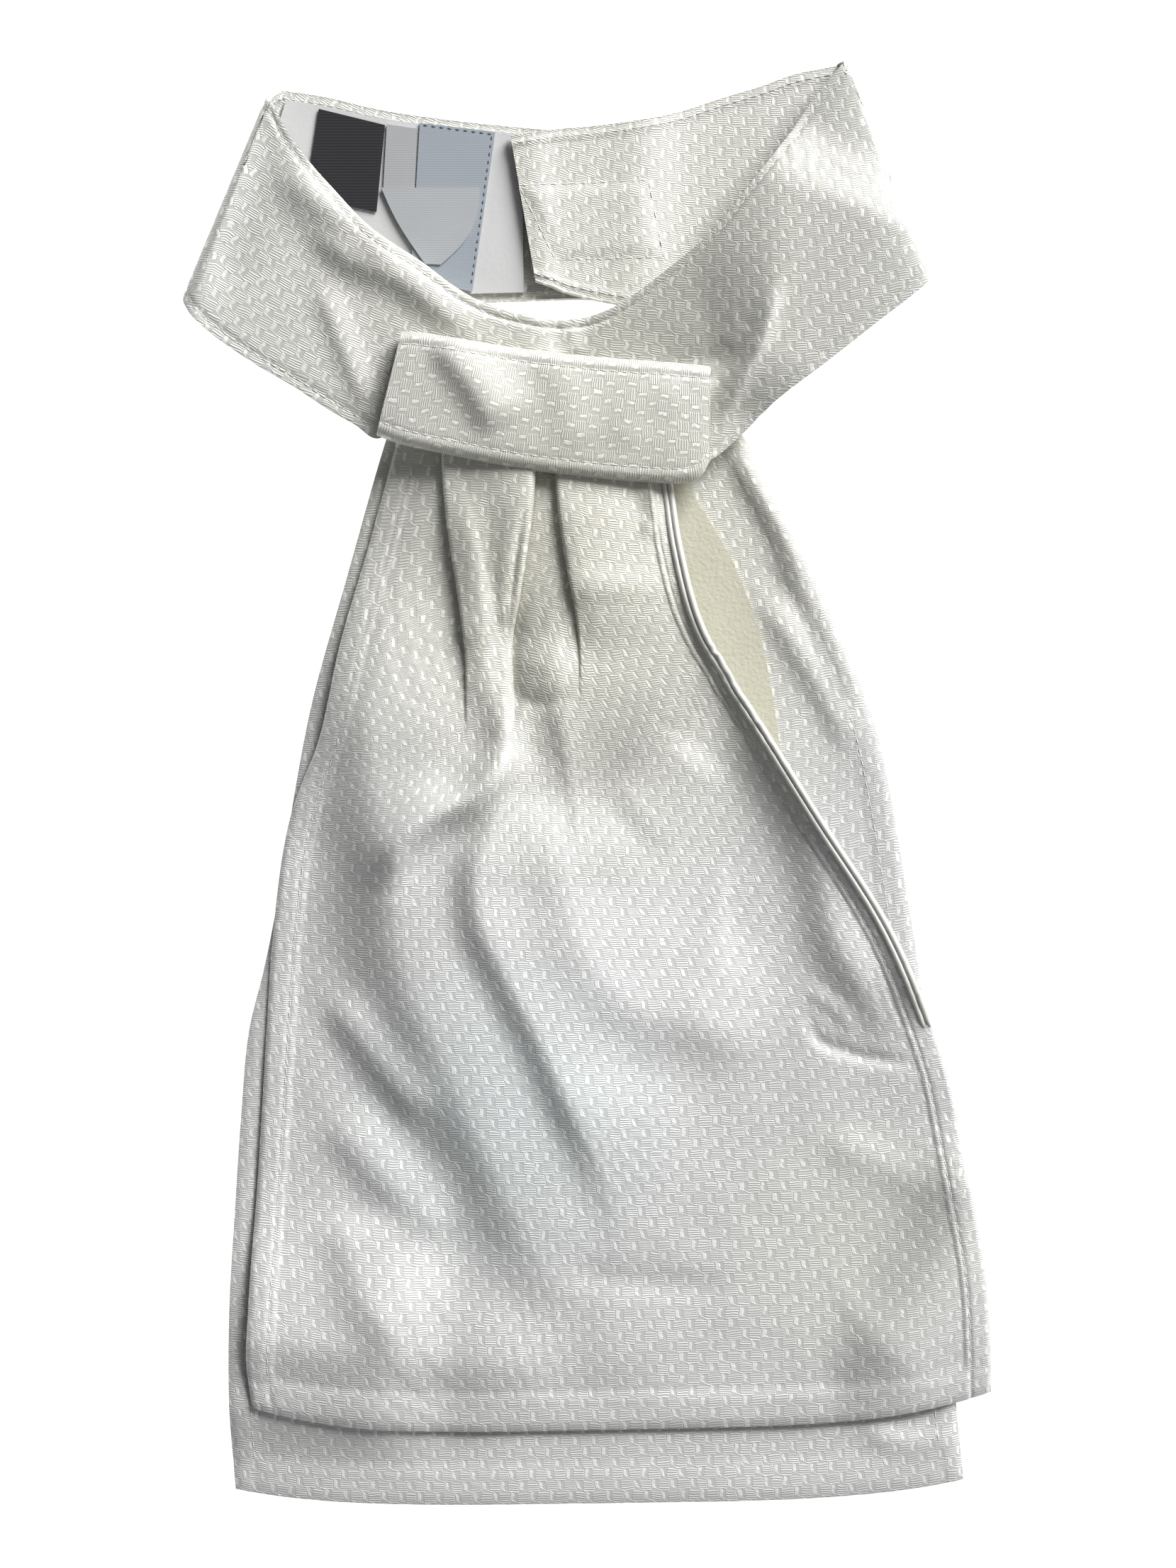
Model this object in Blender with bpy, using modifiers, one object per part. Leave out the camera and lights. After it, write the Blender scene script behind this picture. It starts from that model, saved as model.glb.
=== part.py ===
"""A ready-tied riding stock (cravat) laid flat: neck band, knot bar and two tails, with its labels.

Tables are in millimetres in the part's frame: +X to the wearer's left as it lies, +Y towards the neck,
+Z up from the surface it rests on. sheet() turns them into metres.
"""

import math

import bmesh
import bpy
import numpy as np

MM = 0.001

# Walls and clearances
TAIL_WALL = 1.2
PLEATED_WALL = 1.0
BAND_WALL = 1.6
BAR_WALL = 1.2
LINING_WALL = 1.0
LABEL_WALL = 1.0
GAP = 0.3

# Back tail, a row for each section down it: left edge x, y; right edge x, y; sag of the row's middle
BACK_TAIL_ROWS = (
    (-51.5, 92.5, 37.5, 94.0, 0.0),
    (-53.3, 86.6, 40.3, 89.7, 0.0),
    (-62.7, 53.5, 53.5, 65.7, 0.5),
    (-71.8, 20.9, 64.8, 39.6, 1.0),
    (-75.8, 0.7, 73.4, 18.5, 1.5),
    (-80.5, -29.0, 78.8, -4.1, 2.0),
    (-84.4, -48.7, 83.1, -30.0, 2.0),
    (-88.1, -63.8, 86.2, -50.0, 2.5),
    (-90.3, -86.4, 88.5, -78.0, 3.0),
    (-91.8, -110.0, 90.8, -105.0, 3.5),
    (-93.2, -138.6, 93.3, -135.0, 4.0),
    (-93.0, -165.0, 95.6, -161.1, 4.5),
    (-91.8, -184.0, 97.7, -181.5, 5.0),
)
BACK_TAIL_COLUMNS = 18
BACK_TAIL_SECTIONS = 26

# Soft folds, a row for each: start x, y; middle x, y; end x, y; width to its left and right; height
BACK_TAIL_FOLDS = (
    (38.0, 88.0, 50.0, 66.0, 62.0, 36.0, 3.0, 4.0, 2.2),
    (62.0, 60.0, 71.0, 26.0, 76.0, -4.0, 4.0, 3.0, 1.4),
    (-84.0, -172.0, -40.0, -176.0, 0.0, -174.0, 5.0, 5.0, 0.8),
)

# Front tail, the same columns as the back tail
FRONT_TAIL_ROWS = (
    (-48.6, 92.2, 20.6, 82.5, 0.0),
    (-50.3, 85.7, 21.6, 76.2, 0.0),
    (-56.4, 63.1, 24.2, 60.0, 0.0),
    (-64.0, 36.8, 30.6, 38.6, 0.5),
    (-69.7, 11.3, 45.5, 14.2, 1.0),
    (-76.8, -7.2, 59.6, -8.5, 1.5),
    (-82.0, -41.3, 79.2, -39.8, 2.5),
    (-83.3, -61.0, 87.6, -59.0, 3.0),
    (-84.1, -75.0, 92.7, -73.3, 3.5),
    (-85.8, -104.0, 98.7, -103.0, 4.5),
    (-87.7, -134.7, 103.3, -131.0, 6.0),
    (-88.1, -153.0, 104.6, -150.0, 7.0),
    (-86.9, -162.0, 104.7, -158.4, 8.0),
)
FRONT_TAIL_SECTIONS = 34
FRONT_TAIL_REST = TAIL_WALL + GAP + PLEATED_WALL / 2

# Knife pleats of the front tail, a row for each from left to right: its edge's x at the bar and where it
# fades, the y where it starts to open and the y where it is flat, which side is on top (1 the right
# panel, -1 the left one), the depth tucked under, and the bend radius of its first and second turn
PLEATS = (
    (-37.6, -31.8, 44.0, 4.0, 1, 6.0, 0.65, 0.65),
    (-14.0, -19.6, 50.0, 16.0, -1, 5.0, 1.30, 0.65),
    (-8.2, -2.2, 48.0, 18.0, 1, 6.0, 0.65, 0.65),
)
PLEAT_TOP_Y = 82.0
PLEAT_LOW_Y = 30.0
TURN_STEPS = 3
PANEL_STEPS = (3, 5, 4, 7)
EVEN_FROM_Y = 10.0
EVEN_BY_Y = -70.0

# Soft folds of the front tail's field, with the columns of the back tail's folds
FRONT_TAIL_FOLDS = (
    (-23.0, 6.0, -47.0, -13.0, -46.0, -38.0, 5.0, 9.0, 3.0),
    (-47.0, -34.0, -40.0, -55.0, -27.0, -80.0, 7.0, 8.0, 2.4),
    (-66.0, 12.0, -60.0, -20.0, -52.0, -60.0, 5.0, 4.0, 2.2),
    (-52.0, -70.0, -40.0, -94.0, -22.0, -118.0, 6.0, 5.0, 1.8),
    (10.0, 30.0, 12.0, -20.0, 20.0, -90.0, 16.0, 14.0, 2.2),
    (75.0, -108.0, 67.0, -128.0, 58.0, -148.0, 8.0, 5.0, 2.6),
    (96.0, -112.0, 92.0, -130.0, 84.0, -148.0, 5.0, 5.0, 1.8),
    (-70.0, -124.0, -62.0, -140.0, -50.0, -152.0, 4.0, 6.0, 1.6),
    (66.0, -56.0, 76.0, -68.0, 92.0, -66.0, 4.0, 5.0, 1.5),
)

# Fullness of the pleated cloth where it goes up into the knot bar: height, and the y where it starts
BUNDLE_HEIGHT = 0.8
BUNDLE_FROM_Y = 48.0
BUNDLE_FULL_Y = 84.0

# Rolled right edge of the front tail beside the pleats: height, how far in it reaches, where it ends
CURL_HEIGHT = 3.4
CURL_REACH = 9.0
CURL_FADE_Y = (-52.0, -66.0)

# Cream lining beside the rolled edge, a row for each section: left x, right x, y
TAIL_LINING_ROWS = (
    (17.2, 26.0, 80.0),
    (18.0, 27.2, 75.4),
    (20.0, 32.9, 66.0),
    (22.2, 38.2, 56.0),
    (26.0, 43.6, 42.0),
    (33.0, 47.0, 28.0),
    (40.6, 49.2, 14.0),
)

# Outer face of the neck band, a row for each section: neck edge x, y, z; lower edge x, y, z
BAND_BACK_LEFT = (
    (11.0, 169.2, 0.0, 11.0, 125.4, 0.0),
    (-2.0, 169.6, 0.0, -2.0, 126.0, 0.0),
    (-15.7, 170.6, 0.0, -15.0, 125.6, 0.0),
    (-35.1, 172.6, 0.0, -36.0, 124.8, 0.0),
    (-53.3, 175.2, 0.0, -58.0, 122.6, 0.0),
    (-68.0, 178.6, 0.0, -82.0, 120.8, 0.0),
)
BAND_LEFT_FOLD = (
    (-78.6, 180.2, 0.0, -97.5, 121.5, 0.0),
    (-83.4, 178.6, 4.5, -104.9, 126.6, 4.5),
    (-81.6, 175.4, 9.0, -101.6, 119.9, 8.6),
)
BAND_FRONT = (
    (-77.9, 168.0, 8.9, -95.1, 114.5, 7.8),
    (-71.8, 160.0, 8.7, -85.3, 107.9, 7.2),
    (-65.7, 153.2, 8.5, -76.6, 102.9, 6.8),
    (-58.3, 145.2, 8.3, -68.1, 97.3, 6.4),
    (-52.2, 140.4, 8.1, -60.5, 92.9, 6.1),
    (-43.5, 134.9, 7.9, -54.2, 89.4, 5.8),
    (-35.1, 128.6, 7.7, -46.0, 96.4, 5.8),
    (-27.8, 124.5, 7.5, -36.0, 98.5, 6.0),
    (-17.8, 121.3, 7.4, -22.0, 99.0, 6.2),
    (-5.7, 119.9, 7.3, -6.0, 98.5, 6.3),
    (4.4, 122.3, 7.4, 6.0, 97.5, 6.3),
    (12.4, 126.9, 7.6, 16.0, 96.0, 6.2),
    (19.2, 131.9, 7.8, 23.0, 93.0, 6.0),
    (25.7, 136.9, 8.0, 27.6, 88.2, 5.9),
    (33.5, 143.9, 8.3, 31.0, 83.6, 5.8),
    (40.4, 152.6, 8.6, 38.8, 89.4, 6.2),
    (47.0, 160.9, 8.8, 48.2, 98.6, 7.0),
    (53.0, 168.8, 9.0, 61.4, 108.6, 7.8),
    (57.6, 175.6, 9.2, 74.0, 118.4, 8.6),
)
BAND_RIGHT_FOLD = (
    (62.6, 181.6, 9.4, 85.5, 127.2, 9.0),
    (68.0, 187.6, 4.7, 92.3, 136.4, 4.5),
    (62.4, 187.4, 0.0, 84.6, 131.6, 0.0),
)
BAND_BACK_RIGHT = (
    (53.6, 184.6, 0.0, 70.0, 128.4, 0.0),
    (44.6, 181.4, 0.0, 54.0, 125.0, 0.0),
    (34.0, 178.2, 0.0, 38.0, 122.9, 0.0),
    (24.4, 175.0, 0.5, 25.0, 122.4, 0.5),
    (14.4, 172.6, 2.3, 14.0, 123.4, 2.3),
    (2.8, 170.9, 2.3, 3.0, 125.2, 2.3),
    (-8.0, 169.9, 2.7, -5.6, 127.2, 2.7),
    (-14.6, 168.8, 3.5, -10.4, 129.0, 3.5),
    (-20.2, 167.9, 3.5, -13.7, 130.1, 3.5),
)
FOLD_ANGLES = (-90.0, -60.0, -30.0, 0.0, 30.0, 60.0, 90.0)
BAND_ACROSS = 7
BAND_SECTIONS = 72

# Folds pressed in the band's front, with the columns of the tails' folds
BAND_FOLDS = (
    (-82.0, 152.0, -62.0, 130.0, -34.0, 117.0, 3.0, 5.0, -1.6),
    (-72.0, 140.0, -62.0, 116.0, -56.0, 96.0, 5.0, 4.0, -1.1),
    (60.0, 160.0, 51.0, 142.0, 46.0, 122.0, 5.0, 4.0, -1.2),
    (49.0, 128.0, 46.0, 115.0, 39.0, 101.0, 2.6, 5.0, 1.6),
    (16.0, 116.0, 26.0, 116.0, 34.0, 119.0, 4.0, 4.0, -1.6),
)
BAND_FRONT_FROM_Z = 5.5

# Smooth lining inside the left half: first and last band row that it covers, and its edge margin
LINING_FIRST_ROW = 2.1
LINING_LAST_ROW = 6.2
LINING_MARGIN = 0.045
LINING_SECTIONS = 12
LINING_ACROSS = 5

# Knot bar, a row for each section along it: upper edge x, y; lower edge x, y; z of its outer face
BAR_ROWS = (
    (-48.0, 116.4, -54.6, 89.6, 12.2),
    (-43.0, 116.2, -48.0, 87.2, 12.6),
    (-29.0, 113.8, -36.8, 84.7, 12.9),
    (-13.9, 111.6, -19.0, 81.2, 12.9),
    (1.9, 109.9, -2.2, 79.0, 12.9),
    (17.0, 108.8, 13.0, 77.6, 12.8),
    (27.0, 108.0, 26.6, 77.6, 12.6),
    (31.4, 107.4, 31.2, 83.0, 12.3),
)
BAR_SECTIONS = 20
BAR_ROLL = 1.95
BAR_RETURN = 5.0
BAR_CROWN = 0.8
BAR_FLAT_STEPS = 8
BAR_ROLL_STEPS = 5

# Labels on the lining: four corners x, y from upper left round to lower left, and layers under each
LABELS = {
    "black_label": ((-70.1, 175.0), (-54.9, 171.2), (-56.6, 148.4), (-73.6, 152.4), 0),
    "care_label": ((-53.2, 171.0), (-44.9, 170.0), (-45.6, 153.4), (-54.2, 153.4), 0),
    "satin_label": ((-43.8, 171.6), (-24.2, 169.2), (-30.2, 127.6), (-46.2, 131.4), 0),
    "care_leaf": ((-53.8, 155.0), (-28.4, 154.6), (-38.4, 134.6), (-42.4, 134.8), 1),
}
LABEL_STEPS = 3

COLOURS = {
    "back_tail": (0.86, 0.86, 0.85),
    "front_tail": (0.88, 0.88, 0.87),
    "tail_lining": (0.90, 0.88, 0.82),
    "neck_band": (0.86, 0.86, 0.84),
    "band_lining": (0.93, 0.93, 0.95),
    "knot_bar": (0.86, 0.87, 0.87),
    "black_label": (0.02, 0.02, 0.03),
    "care_label": (0.80, 0.82, 0.86),
    "care_leaf": (0.84, 0.86, 0.90),
    "satin_label": (0.62, 0.68, 0.80),
}
CLOTH_ROUGHNESS = 0.5


def smoothstep(low, high, value):
    """0 at low and 1 at high, with level ends; low may be the larger."""
    part = np.clip((np.asarray(value, float) - low) / (high - low), 0.0, 1.0)
    return part * part * (3.0 - 2.0 * part)


def smooth_rows(rows, keys, at):
    """Rows of a table read at the keys in `at`, along a smooth curve through every row."""
    rows = np.asarray(rows, float)
    keys = np.asarray(keys, float)
    at = np.clip(np.asarray(at, float), keys[0], keys[-1])
    steps = np.diff(keys)[:, None]
    slopes = np.diff(rows, axis=0) / steps
    inner = (slopes[:-1] * steps[1:] + slopes[1:] * steps[:-1]) / (steps[1:] + steps[:-1])
    tangents = np.vstack([slopes[:1], inner, slopes[-1:]])
    low = np.clip(np.searchsorted(keys, at, side="right") - 1, 0, len(keys) - 2)
    width = (keys[low + 1] - keys[low])[:, None]
    part = ((at - keys[low])[:, None]) / width
    start, end = rows[low], rows[low + 1]
    return (
        (2 * part**3 - 3 * part**2 + 1) * start
        + (part**3 - 2 * part**2 + part) * width * tangents[low]
        + (3 * part**2 - 2 * part**3) * end
        + (part**3 - part**2) * width * tangents[low + 1]
    )


def fold_height(folds, x, y):
    """Height that a table of soft folds adds at each x, y."""
    x = np.asarray(x, float)
    y = np.asarray(y, float)
    total = np.zeros_like(x)
    for x0, y0, xm, ym, x1, y1, left, right, height in folds:
        along = np.linspace(0.0, 1.0, 25)
        path_x, path_y = smooth_rows(((x0, y0), (xm, ym), (x1, y1)), (0.0, 0.5, 1.0), along).T
        dx = x[..., None] - path_x
        dy = y[..., None] - path_y
        distance = np.hypot(dx, dy)
        nearest = distance.argmin(axis=-1)
        pick = nearest[..., None]
        gap_x = np.take_along_axis(dx, pick, -1)[..., 0]
        gap_y = np.take_along_axis(dy, pick, -1)[..., 0]
        run_x = np.gradient(path_x)[nearest]
        run_y = np.gradient(path_y)[nearest]
        side = run_x * gap_y - run_y * gap_x
        width = np.where(side > 0, left, right)
        reach = np.take_along_axis(distance, pick, -1)[..., 0] / width
        taper = np.sin(math.pi * (0.08 + 0.84 * nearest / 24.0))
        total += height * taper * np.exp(-reach * reach)
    return total


def tail_sections(rows, count):
    """Left ends, right ends and sags of evenly spaced sections down a tail."""
    table = np.asarray(rows, float)
    middle = (table[:, 1] + table[:, 3]) / 2
    read = smooth_rows(table, -middle, np.linspace(-middle[0], -middle[-1], count))
    return read[:, 0:2], read[:, 2:4], read[:, 4]


def across(left, right, sag, part):
    """Plan points of one section at the parts `part` of its width, with the section's sag."""
    plan = left + (right - left) * part[:, None]
    plan[:, 1] -= sag * (1.0 - (2.0 * part - 1.0) ** 4)
    return plan


def back_tail_points():
    """Underside of the back tail: flat on the surface but where a fold lifts it."""
    part = np.linspace(0.0, 1.0, BACK_TAIL_COLUMNS + 1)
    grid = []
    for left, right, sag in zip(*tail_sections(BACK_TAIL_ROWS, BACK_TAIL_SECTIONS)):
        plan = across(left, right, sag, part)
        height = fold_height(BACK_TAIL_FOLDS, plan[:, 0], plan[:, 1])
        height[height < 0.15] = 0.0
        grid.append(np.column_stack([plan, height]))
    return np.array(grid)


def pleat_turn(pleat, y):
    """Heading steps and lengths of one pleat's sections at the height y, and its visible edge's x."""
    x_top, x_low, open_y, flat_y, side, depth, first, second = pleat
    turned = 1.0 - smoothstep(open_y, flat_y, y)
    tucked = depth * turned**2
    rising = np.linspace(0.0, 1.0, TURN_STEPS * 2 + 1)[1::2]
    headings = np.concatenate([rising, [1.0], rising[::-1]]) * math.pi * turned * side
    lengths = np.concatenate([
        np.full(TURN_STEPS, math.pi * first / TURN_STEPS),
        [max(tucked, 0.4)],
        np.full(TURN_STEPS, math.pi * second / TURN_STEPS),
    ])
    place = smoothstep(PLEAT_TOP_Y, PLEAT_LOW_Y, y)
    edge = x_top + (x_low - x_top) * place
    radius = second if side > 0 else first
    centre = edge + side * (tucked / 2 + radius) * float(turned)
    return headings, lengths, float(centre)


def front_section(left, right, sag, y):
    """Plan points and heights of one section of the front tail, pleats folded over each other."""
    chord = float(np.hypot(*(right - left)))
    per_mm = chord / (right[0] - left[0])
    steps = sum(PANEL_STEPS) + len(PLEATS) * (2 * TURN_STEPS + 1)
    even = chord / steps
    evenness = float(smoothstep(EVEN_FROM_Y, EVEN_BY_Y, y))
    turns = []
    count = 0
    for panel, pleat in zip(PANEL_STEPS, PLEATS):
        headings, lengths, centre = pleat_turn(pleat, y)
        lengths = lengths + (even - lengths) * evenness
        count += panel + TURN_STEPS + 0.5
        middle = (centre - left[0]) * per_mm * (1 - evenness) + count * even * evenness
        count += TURN_STEPS + 0.5
        turns.append((headings, lengths, middle))
    headings, lengths = [], []
    reached = 0.0
    for panel, (turn, run, middle) in zip(PANEL_STEPS, turns):
        advance = run * np.cos(turn)
        flat = middle - advance[: TURN_STEPS].sum() - advance[TURN_STEPS] / 2 - reached
        headings += [0.0] * panel + list(turn)
        lengths += [flat / panel] * panel + list(run)
        reached += flat + advance.sum()
    headings += [0.0] * PANEL_STEPS[-1]
    lengths += [(chord - reached) / PANEL_STEPS[-1]] * PANEL_STEPS[-1]
    headings = np.array(headings)
    lengths = np.array(lengths)
    along = np.concatenate([[0.0], np.cumsum(lengths * np.cos(headings))])
    rise = np.concatenate([[0.0], np.cumsum(lengths * np.sin(headings))])
    return across(left, right, sag, along / chord), rise + settling(rise)


def settling(rise):
    """Slope of the panels between pleats, so that each low panel and the last one end at rest."""
    change = np.zeros_like(rise)
    turn = 2 * TURN_STEPS + 1
    start = 0
    for number, panel in enumerate(PANEL_STEPS):
        end = start + panel
        level = rise[end] + change[start]
        drop = 0.0
        if number < len(PLEATS) and PLEATS[number][4] < 0:
            drop = rise[end + turn] - rise[end]
        part = np.linspace(0.0, 1.0, panel + 1)
        change[start:end + 1] = change[start] - (level + drop) * part * part * (3 - 2 * part)
        change[end + 1:] = change[end]
        start = end + turn
    return change


def front_tail_points():
    """Middle of the front tail's wall."""
    grid = []
    for left, right, sag in zip(*tail_sections(FRONT_TAIL_ROWS, FRONT_TAIL_SECTIONS)):
        y = (left[1] + right[1]) / 2
        plan, rise = front_section(left, right, sag, y)
        x_in, y_in = plan.T
        under = fold_height(BACK_TAIL_FOLDS, x_in, y_in)
        field = fold_height(FRONT_TAIL_FOLDS, x_in, y_in)
        from_edge = right[0] - x_in
        curl = CURL_HEIGHT * smoothstep(CURL_REACH, 0.0, from_edge) * smoothstep(*CURL_FADE_Y[::-1], y)
        bundle = BUNDLE_HEIGHT * smoothstep(BUNDLE_FROM_Y, BUNDLE_FULL_Y, y) * smoothstep(0.0, 12.0, from_edge)
        bundle = bundle * smoothstep(0.0, 14.0, x_in - left[0])
        height = FRONT_TAIL_REST + under + field + rise + curl + bundle
        grid.append(np.column_stack([plan, height]))
    return np.array(grid)


def tail_lining_points():
    """Underside of the cream lining, just above the back tail."""
    table = np.asarray(TAIL_LINING_ROWS, float)
    read = smooth_rows(table, -table[:, 2], np.linspace(-table[0, 2], -table[-1, 2], 14))
    part = np.linspace(0.0, 1.0, 5)
    grid = []
    for x_left, x_right, y in read:
        x = x_left + (x_right - x_left) * part
        height = fold_height(BACK_TAIL_FOLDS, x, np.full_like(x, y))
        grid.append(np.column_stack([x, np.full_like(x, y), height + TAIL_WALL + GAP]))
    return np.array(grid)


def fold_rows(back, outer, front):
    """Rows round a soft fold of the band, from its first row over its outermost one to its last."""
    back, outer, front = (np.asarray(row, float) for row in (back, outer, front))
    centre = (back + front) / 2
    rows = []
    for angle in FOLD_ANGLES:
        turn = math.radians(angle)
        rows.append(centre + (outer - centre) * math.cos(turn) + (front - back) / 2 * math.sin(turn))
    return rows


def band_table():
    """All rows of the band in order, from the end under the tab to the tab's own end."""
    rows = list(BAND_BACK_LEFT) + fold_rows(*BAND_LEFT_FOLD) + list(BAND_FRONT)
    return np.array(rows + fold_rows(*BAND_RIGHT_FOLD) + list(BAND_BACK_RIGHT), float)


def band_points(sections, parts, moved_in=0.0):
    """Outer face of the band at the row numbers `sections`, moved towards the loop's inside."""
    table = band_table()
    read = smooth_rows(table, np.arange(len(table)), sections)
    neck, lower = read[:, None, 0:3], read[:, None, 3:6]
    points = neck + (lower - neck) * parts[None, :, None]
    front = smoothstep(BAND_FRONT_FROM_Z - 1.0, BAND_FRONT_FROM_Z + 1.0, points[..., 2])
    points[..., 2] += front * fold_height(BAND_FOLDS, points[..., 0], points[..., 1])
    if moved_in:
        along = np.gradient(points, axis=0)
        down = np.gradient(points, axis=1)
        inward = np.cross(along, down)
        inward /= np.linalg.norm(inward, axis=-1, keepdims=True)
        points = points + inward * moved_in
    return points


def bar_points():
    """Middle of the knot bar's wall: a flat strap whose long edges roll under."""
    table = np.asarray(BAR_ROWS, float)
    rows = smooth_rows(table, np.arange(len(table)), np.linspace(0, len(table) - 1, BAR_SECTIONS))
    turn = np.linspace(0.0, math.pi, BAR_ROLL_STEPS + 1)
    flat = np.linspace(0.0, 1.0, BAR_FLAT_STEPS + 1)
    grid = []
    for x_up, y_up, x_low, y_low, top in rows:
        upper = np.array([x_up, y_up])
        lower = np.array([x_low, y_low])
        width = float(np.hypot(*(lower - upper)))
        down = (lower - upper) / width
        roll = BAR_ROLL
        inset = roll + BAR_WALL / 2
        run = [inset + BAR_RETURN]
        drop = [2 * roll]
        run += list(inset - roll * np.sin(turn[::-1]))
        drop += list(roll - roll * np.cos(turn[::-1]))
        run += list(inset + (width - 2 * inset) * flat[1:-1])
        drop += list(-BAR_CROWN * np.sin(math.pi * flat[1:-1]))
        run += list(width - inset + roll * np.sin(turn))
        drop += list(roll - roll * np.cos(turn))
        run.append(width - inset - BAR_RETURN)
        drop.append(2 * roll)
        plan = upper + np.outer(run, down)
        grid.append(np.column_stack([plan, top - BAR_WALL / 2 - np.array(drop)]))
    return np.array(grid)


def label_points(corners, layers_under):
    """Underside of a label, flat on the lining or on the labels below it."""
    first, second, third, fourth = (np.array(corner) for corner in corners)
    rest = BAND_WALL + GAP + LINING_WALL + GAP + layers_under * (LABEL_WALL + GAP)
    part = np.linspace(0.0, 1.0, LABEL_STEPS + 1)
    grid = []
    for down in part:
        start = first + (fourth - first) * down
        end = second + (third - second) * down
        plan = start + np.outer(part, end - start)
        grid.append(np.column_stack([plan, np.full(len(part), rest)]))
    return np.array(grid)


def cloth_material(name):
    material = bpy.data.materials.new(name)
    material.use_nodes = True
    shader = material.node_tree.nodes["Principled BSDF"]
    shader.inputs["Base Color"].default_value = (*COLOURS[name], 1.0)
    shader.inputs["Roughness"].default_value = CLOTH_ROUGHNESS
    shader.inputs["Metallic"].default_value = 0.0
    return material


def sheet(name, points, wall, offset, collection):
    """A grid shaped to the points (rows of x, y, z), thickened by Solidify into a closed wall."""
    row_count, column_count = points.shape[:2]
    mesh = bpy.data.meshes.new(name)
    shape = bmesh.new()
    bmesh.ops.create_grid(shape, x_segments=column_count - 1, y_segments=row_count - 1, size=1.0)
    shape.verts.ensure_lookup_table()
    for vertex, place in zip(shape.verts, points.reshape(-1, 3)):
        vertex.co = place * MM
    shape.to_mesh(mesh)
    shape.free()
    mesh.materials.append(cloth_material(name))
    mesh.shade_smooth()
    piece = bpy.data.objects.new(name, mesh)
    collection.objects.link(piece)
    solid = piece.modifiers.new("wall", "SOLIDIFY")
    solid.thickness = wall * MM
    solid.offset = offset
    return piece


def main():
    for old in list(bpy.data.objects):
        bpy.data.objects.remove(old)
    cravat = bpy.data.collections.new("cravat")
    bpy.context.scene.collection.children.link(cravat)
    band_rows = np.linspace(0.0, len(band_table()) - 1, BAND_SECTIONS)
    band_parts = np.linspace(0.0, 1.0, BAND_ACROSS + 1)
    lining_rows = np.linspace(LINING_FIRST_ROW, LINING_LAST_ROW, LINING_SECTIONS)
    lining_parts = np.linspace(LINING_MARGIN, 1.0 - LINING_MARGIN, LINING_ACROSS + 1)
    sheet("back_tail", back_tail_points(), TAIL_WALL, -1.0, cravat)
    sheet("front_tail", front_tail_points(), PLEATED_WALL, 0.0, cravat)
    sheet("tail_lining", tail_lining_points(), LINING_WALL, -1.0, cravat)
    sheet("neck_band", band_points(band_rows, band_parts), BAND_WALL, -1.0, cravat)
    lining = band_points(lining_rows, lining_parts, BAND_WALL + GAP)
    sheet("band_lining", lining, LINING_WALL, -1.0, cravat)
    sheet("knot_bar", bar_points(), BAR_WALL, 0.0, cravat)
    for name, (*corners, layers_under) in LABELS.items():
        sheet(name, label_points(corners, layers_under), LABEL_WALL, -1.0, cravat)


main()
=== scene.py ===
"""Finish of a ready-tied riding stock (cravat) in ivory satin jacquard, laid flat on a pale floor.

The cloth tables are in millimetres in the part's frame, as its solids are, and each sheet follows the
same sections on a finer grid, with its hems, stitches, small folds and weave.
"""

import math

import bpy
import numpy as np
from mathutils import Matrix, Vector


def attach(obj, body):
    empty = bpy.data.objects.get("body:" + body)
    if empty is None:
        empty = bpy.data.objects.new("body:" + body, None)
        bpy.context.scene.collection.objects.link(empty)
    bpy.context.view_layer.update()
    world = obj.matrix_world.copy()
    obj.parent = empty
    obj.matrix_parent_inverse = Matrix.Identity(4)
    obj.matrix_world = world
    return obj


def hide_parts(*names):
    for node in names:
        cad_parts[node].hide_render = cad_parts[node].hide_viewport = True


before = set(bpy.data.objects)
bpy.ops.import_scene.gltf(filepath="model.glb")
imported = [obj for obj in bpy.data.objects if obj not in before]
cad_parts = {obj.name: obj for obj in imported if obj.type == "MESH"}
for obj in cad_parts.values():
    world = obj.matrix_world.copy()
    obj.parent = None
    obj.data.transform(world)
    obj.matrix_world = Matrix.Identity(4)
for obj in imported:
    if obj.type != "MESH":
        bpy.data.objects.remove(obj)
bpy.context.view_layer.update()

MM = 0.001

# Walls and clearances, in millimetres
TAIL_WALL = 1.1
PLEATED_WALL = 0.9
BAND_WALL = 1.6
BAND_CLOTH_WALL = BAND_WALL - 0.2
BAR_WALL = 1.2
LINING_WALL = 0.8
LABEL_WALL = 0.35
GAP = 0.3
CAD_TAIL_WALL = 1.2
CAD_LINING_WALL = 1.0
LABEL_GAP = 0.1
LEAF_GAP = 0.15

# Cloths are shaded smooth across edges up to this angle in degrees
SMOOTH_ANGLE = 55

# Back tail, a row for each section down it: left edge x, y; right edge x, y; sag of the row's middle
BACK_TAIL_ROWS = (
    (-51.5, 92.5, 37.5, 94, 0),
    (-53.3, 86.6, 40.3, 89.7, 0),
    (-62.7, 53.5, 53.5, 65.7, 0.5),
    (-71.8, 20.9, 64.8, 39.6, 1),
    (-75.8, 0.7, 73.4, 18.5, 1.5),
    (-80.5, -29, 78.8, -4.1, 2),
    (-84.4, -48.7, 83.1, -30, 2),
    (-88.1, -63.8, 86.2, -50, 2.5),
    (-90.3, -86.4, 88.5, -78, 3),
    (-91.8, -110, 90.8, -105, 3.5),
    (-93.2, -138.6, 93.3, -135, 4),
    (-93, -165, 95.6, -161.1, 4.5),
    (-91.8, -184, 97.7, -181.5, 5),
)
BACK_TAIL_GRID = (170, 140)
BACK_TAIL_LIFT = 0.12
BACK_TAIL_HEM_SHARE = 0.7

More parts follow.
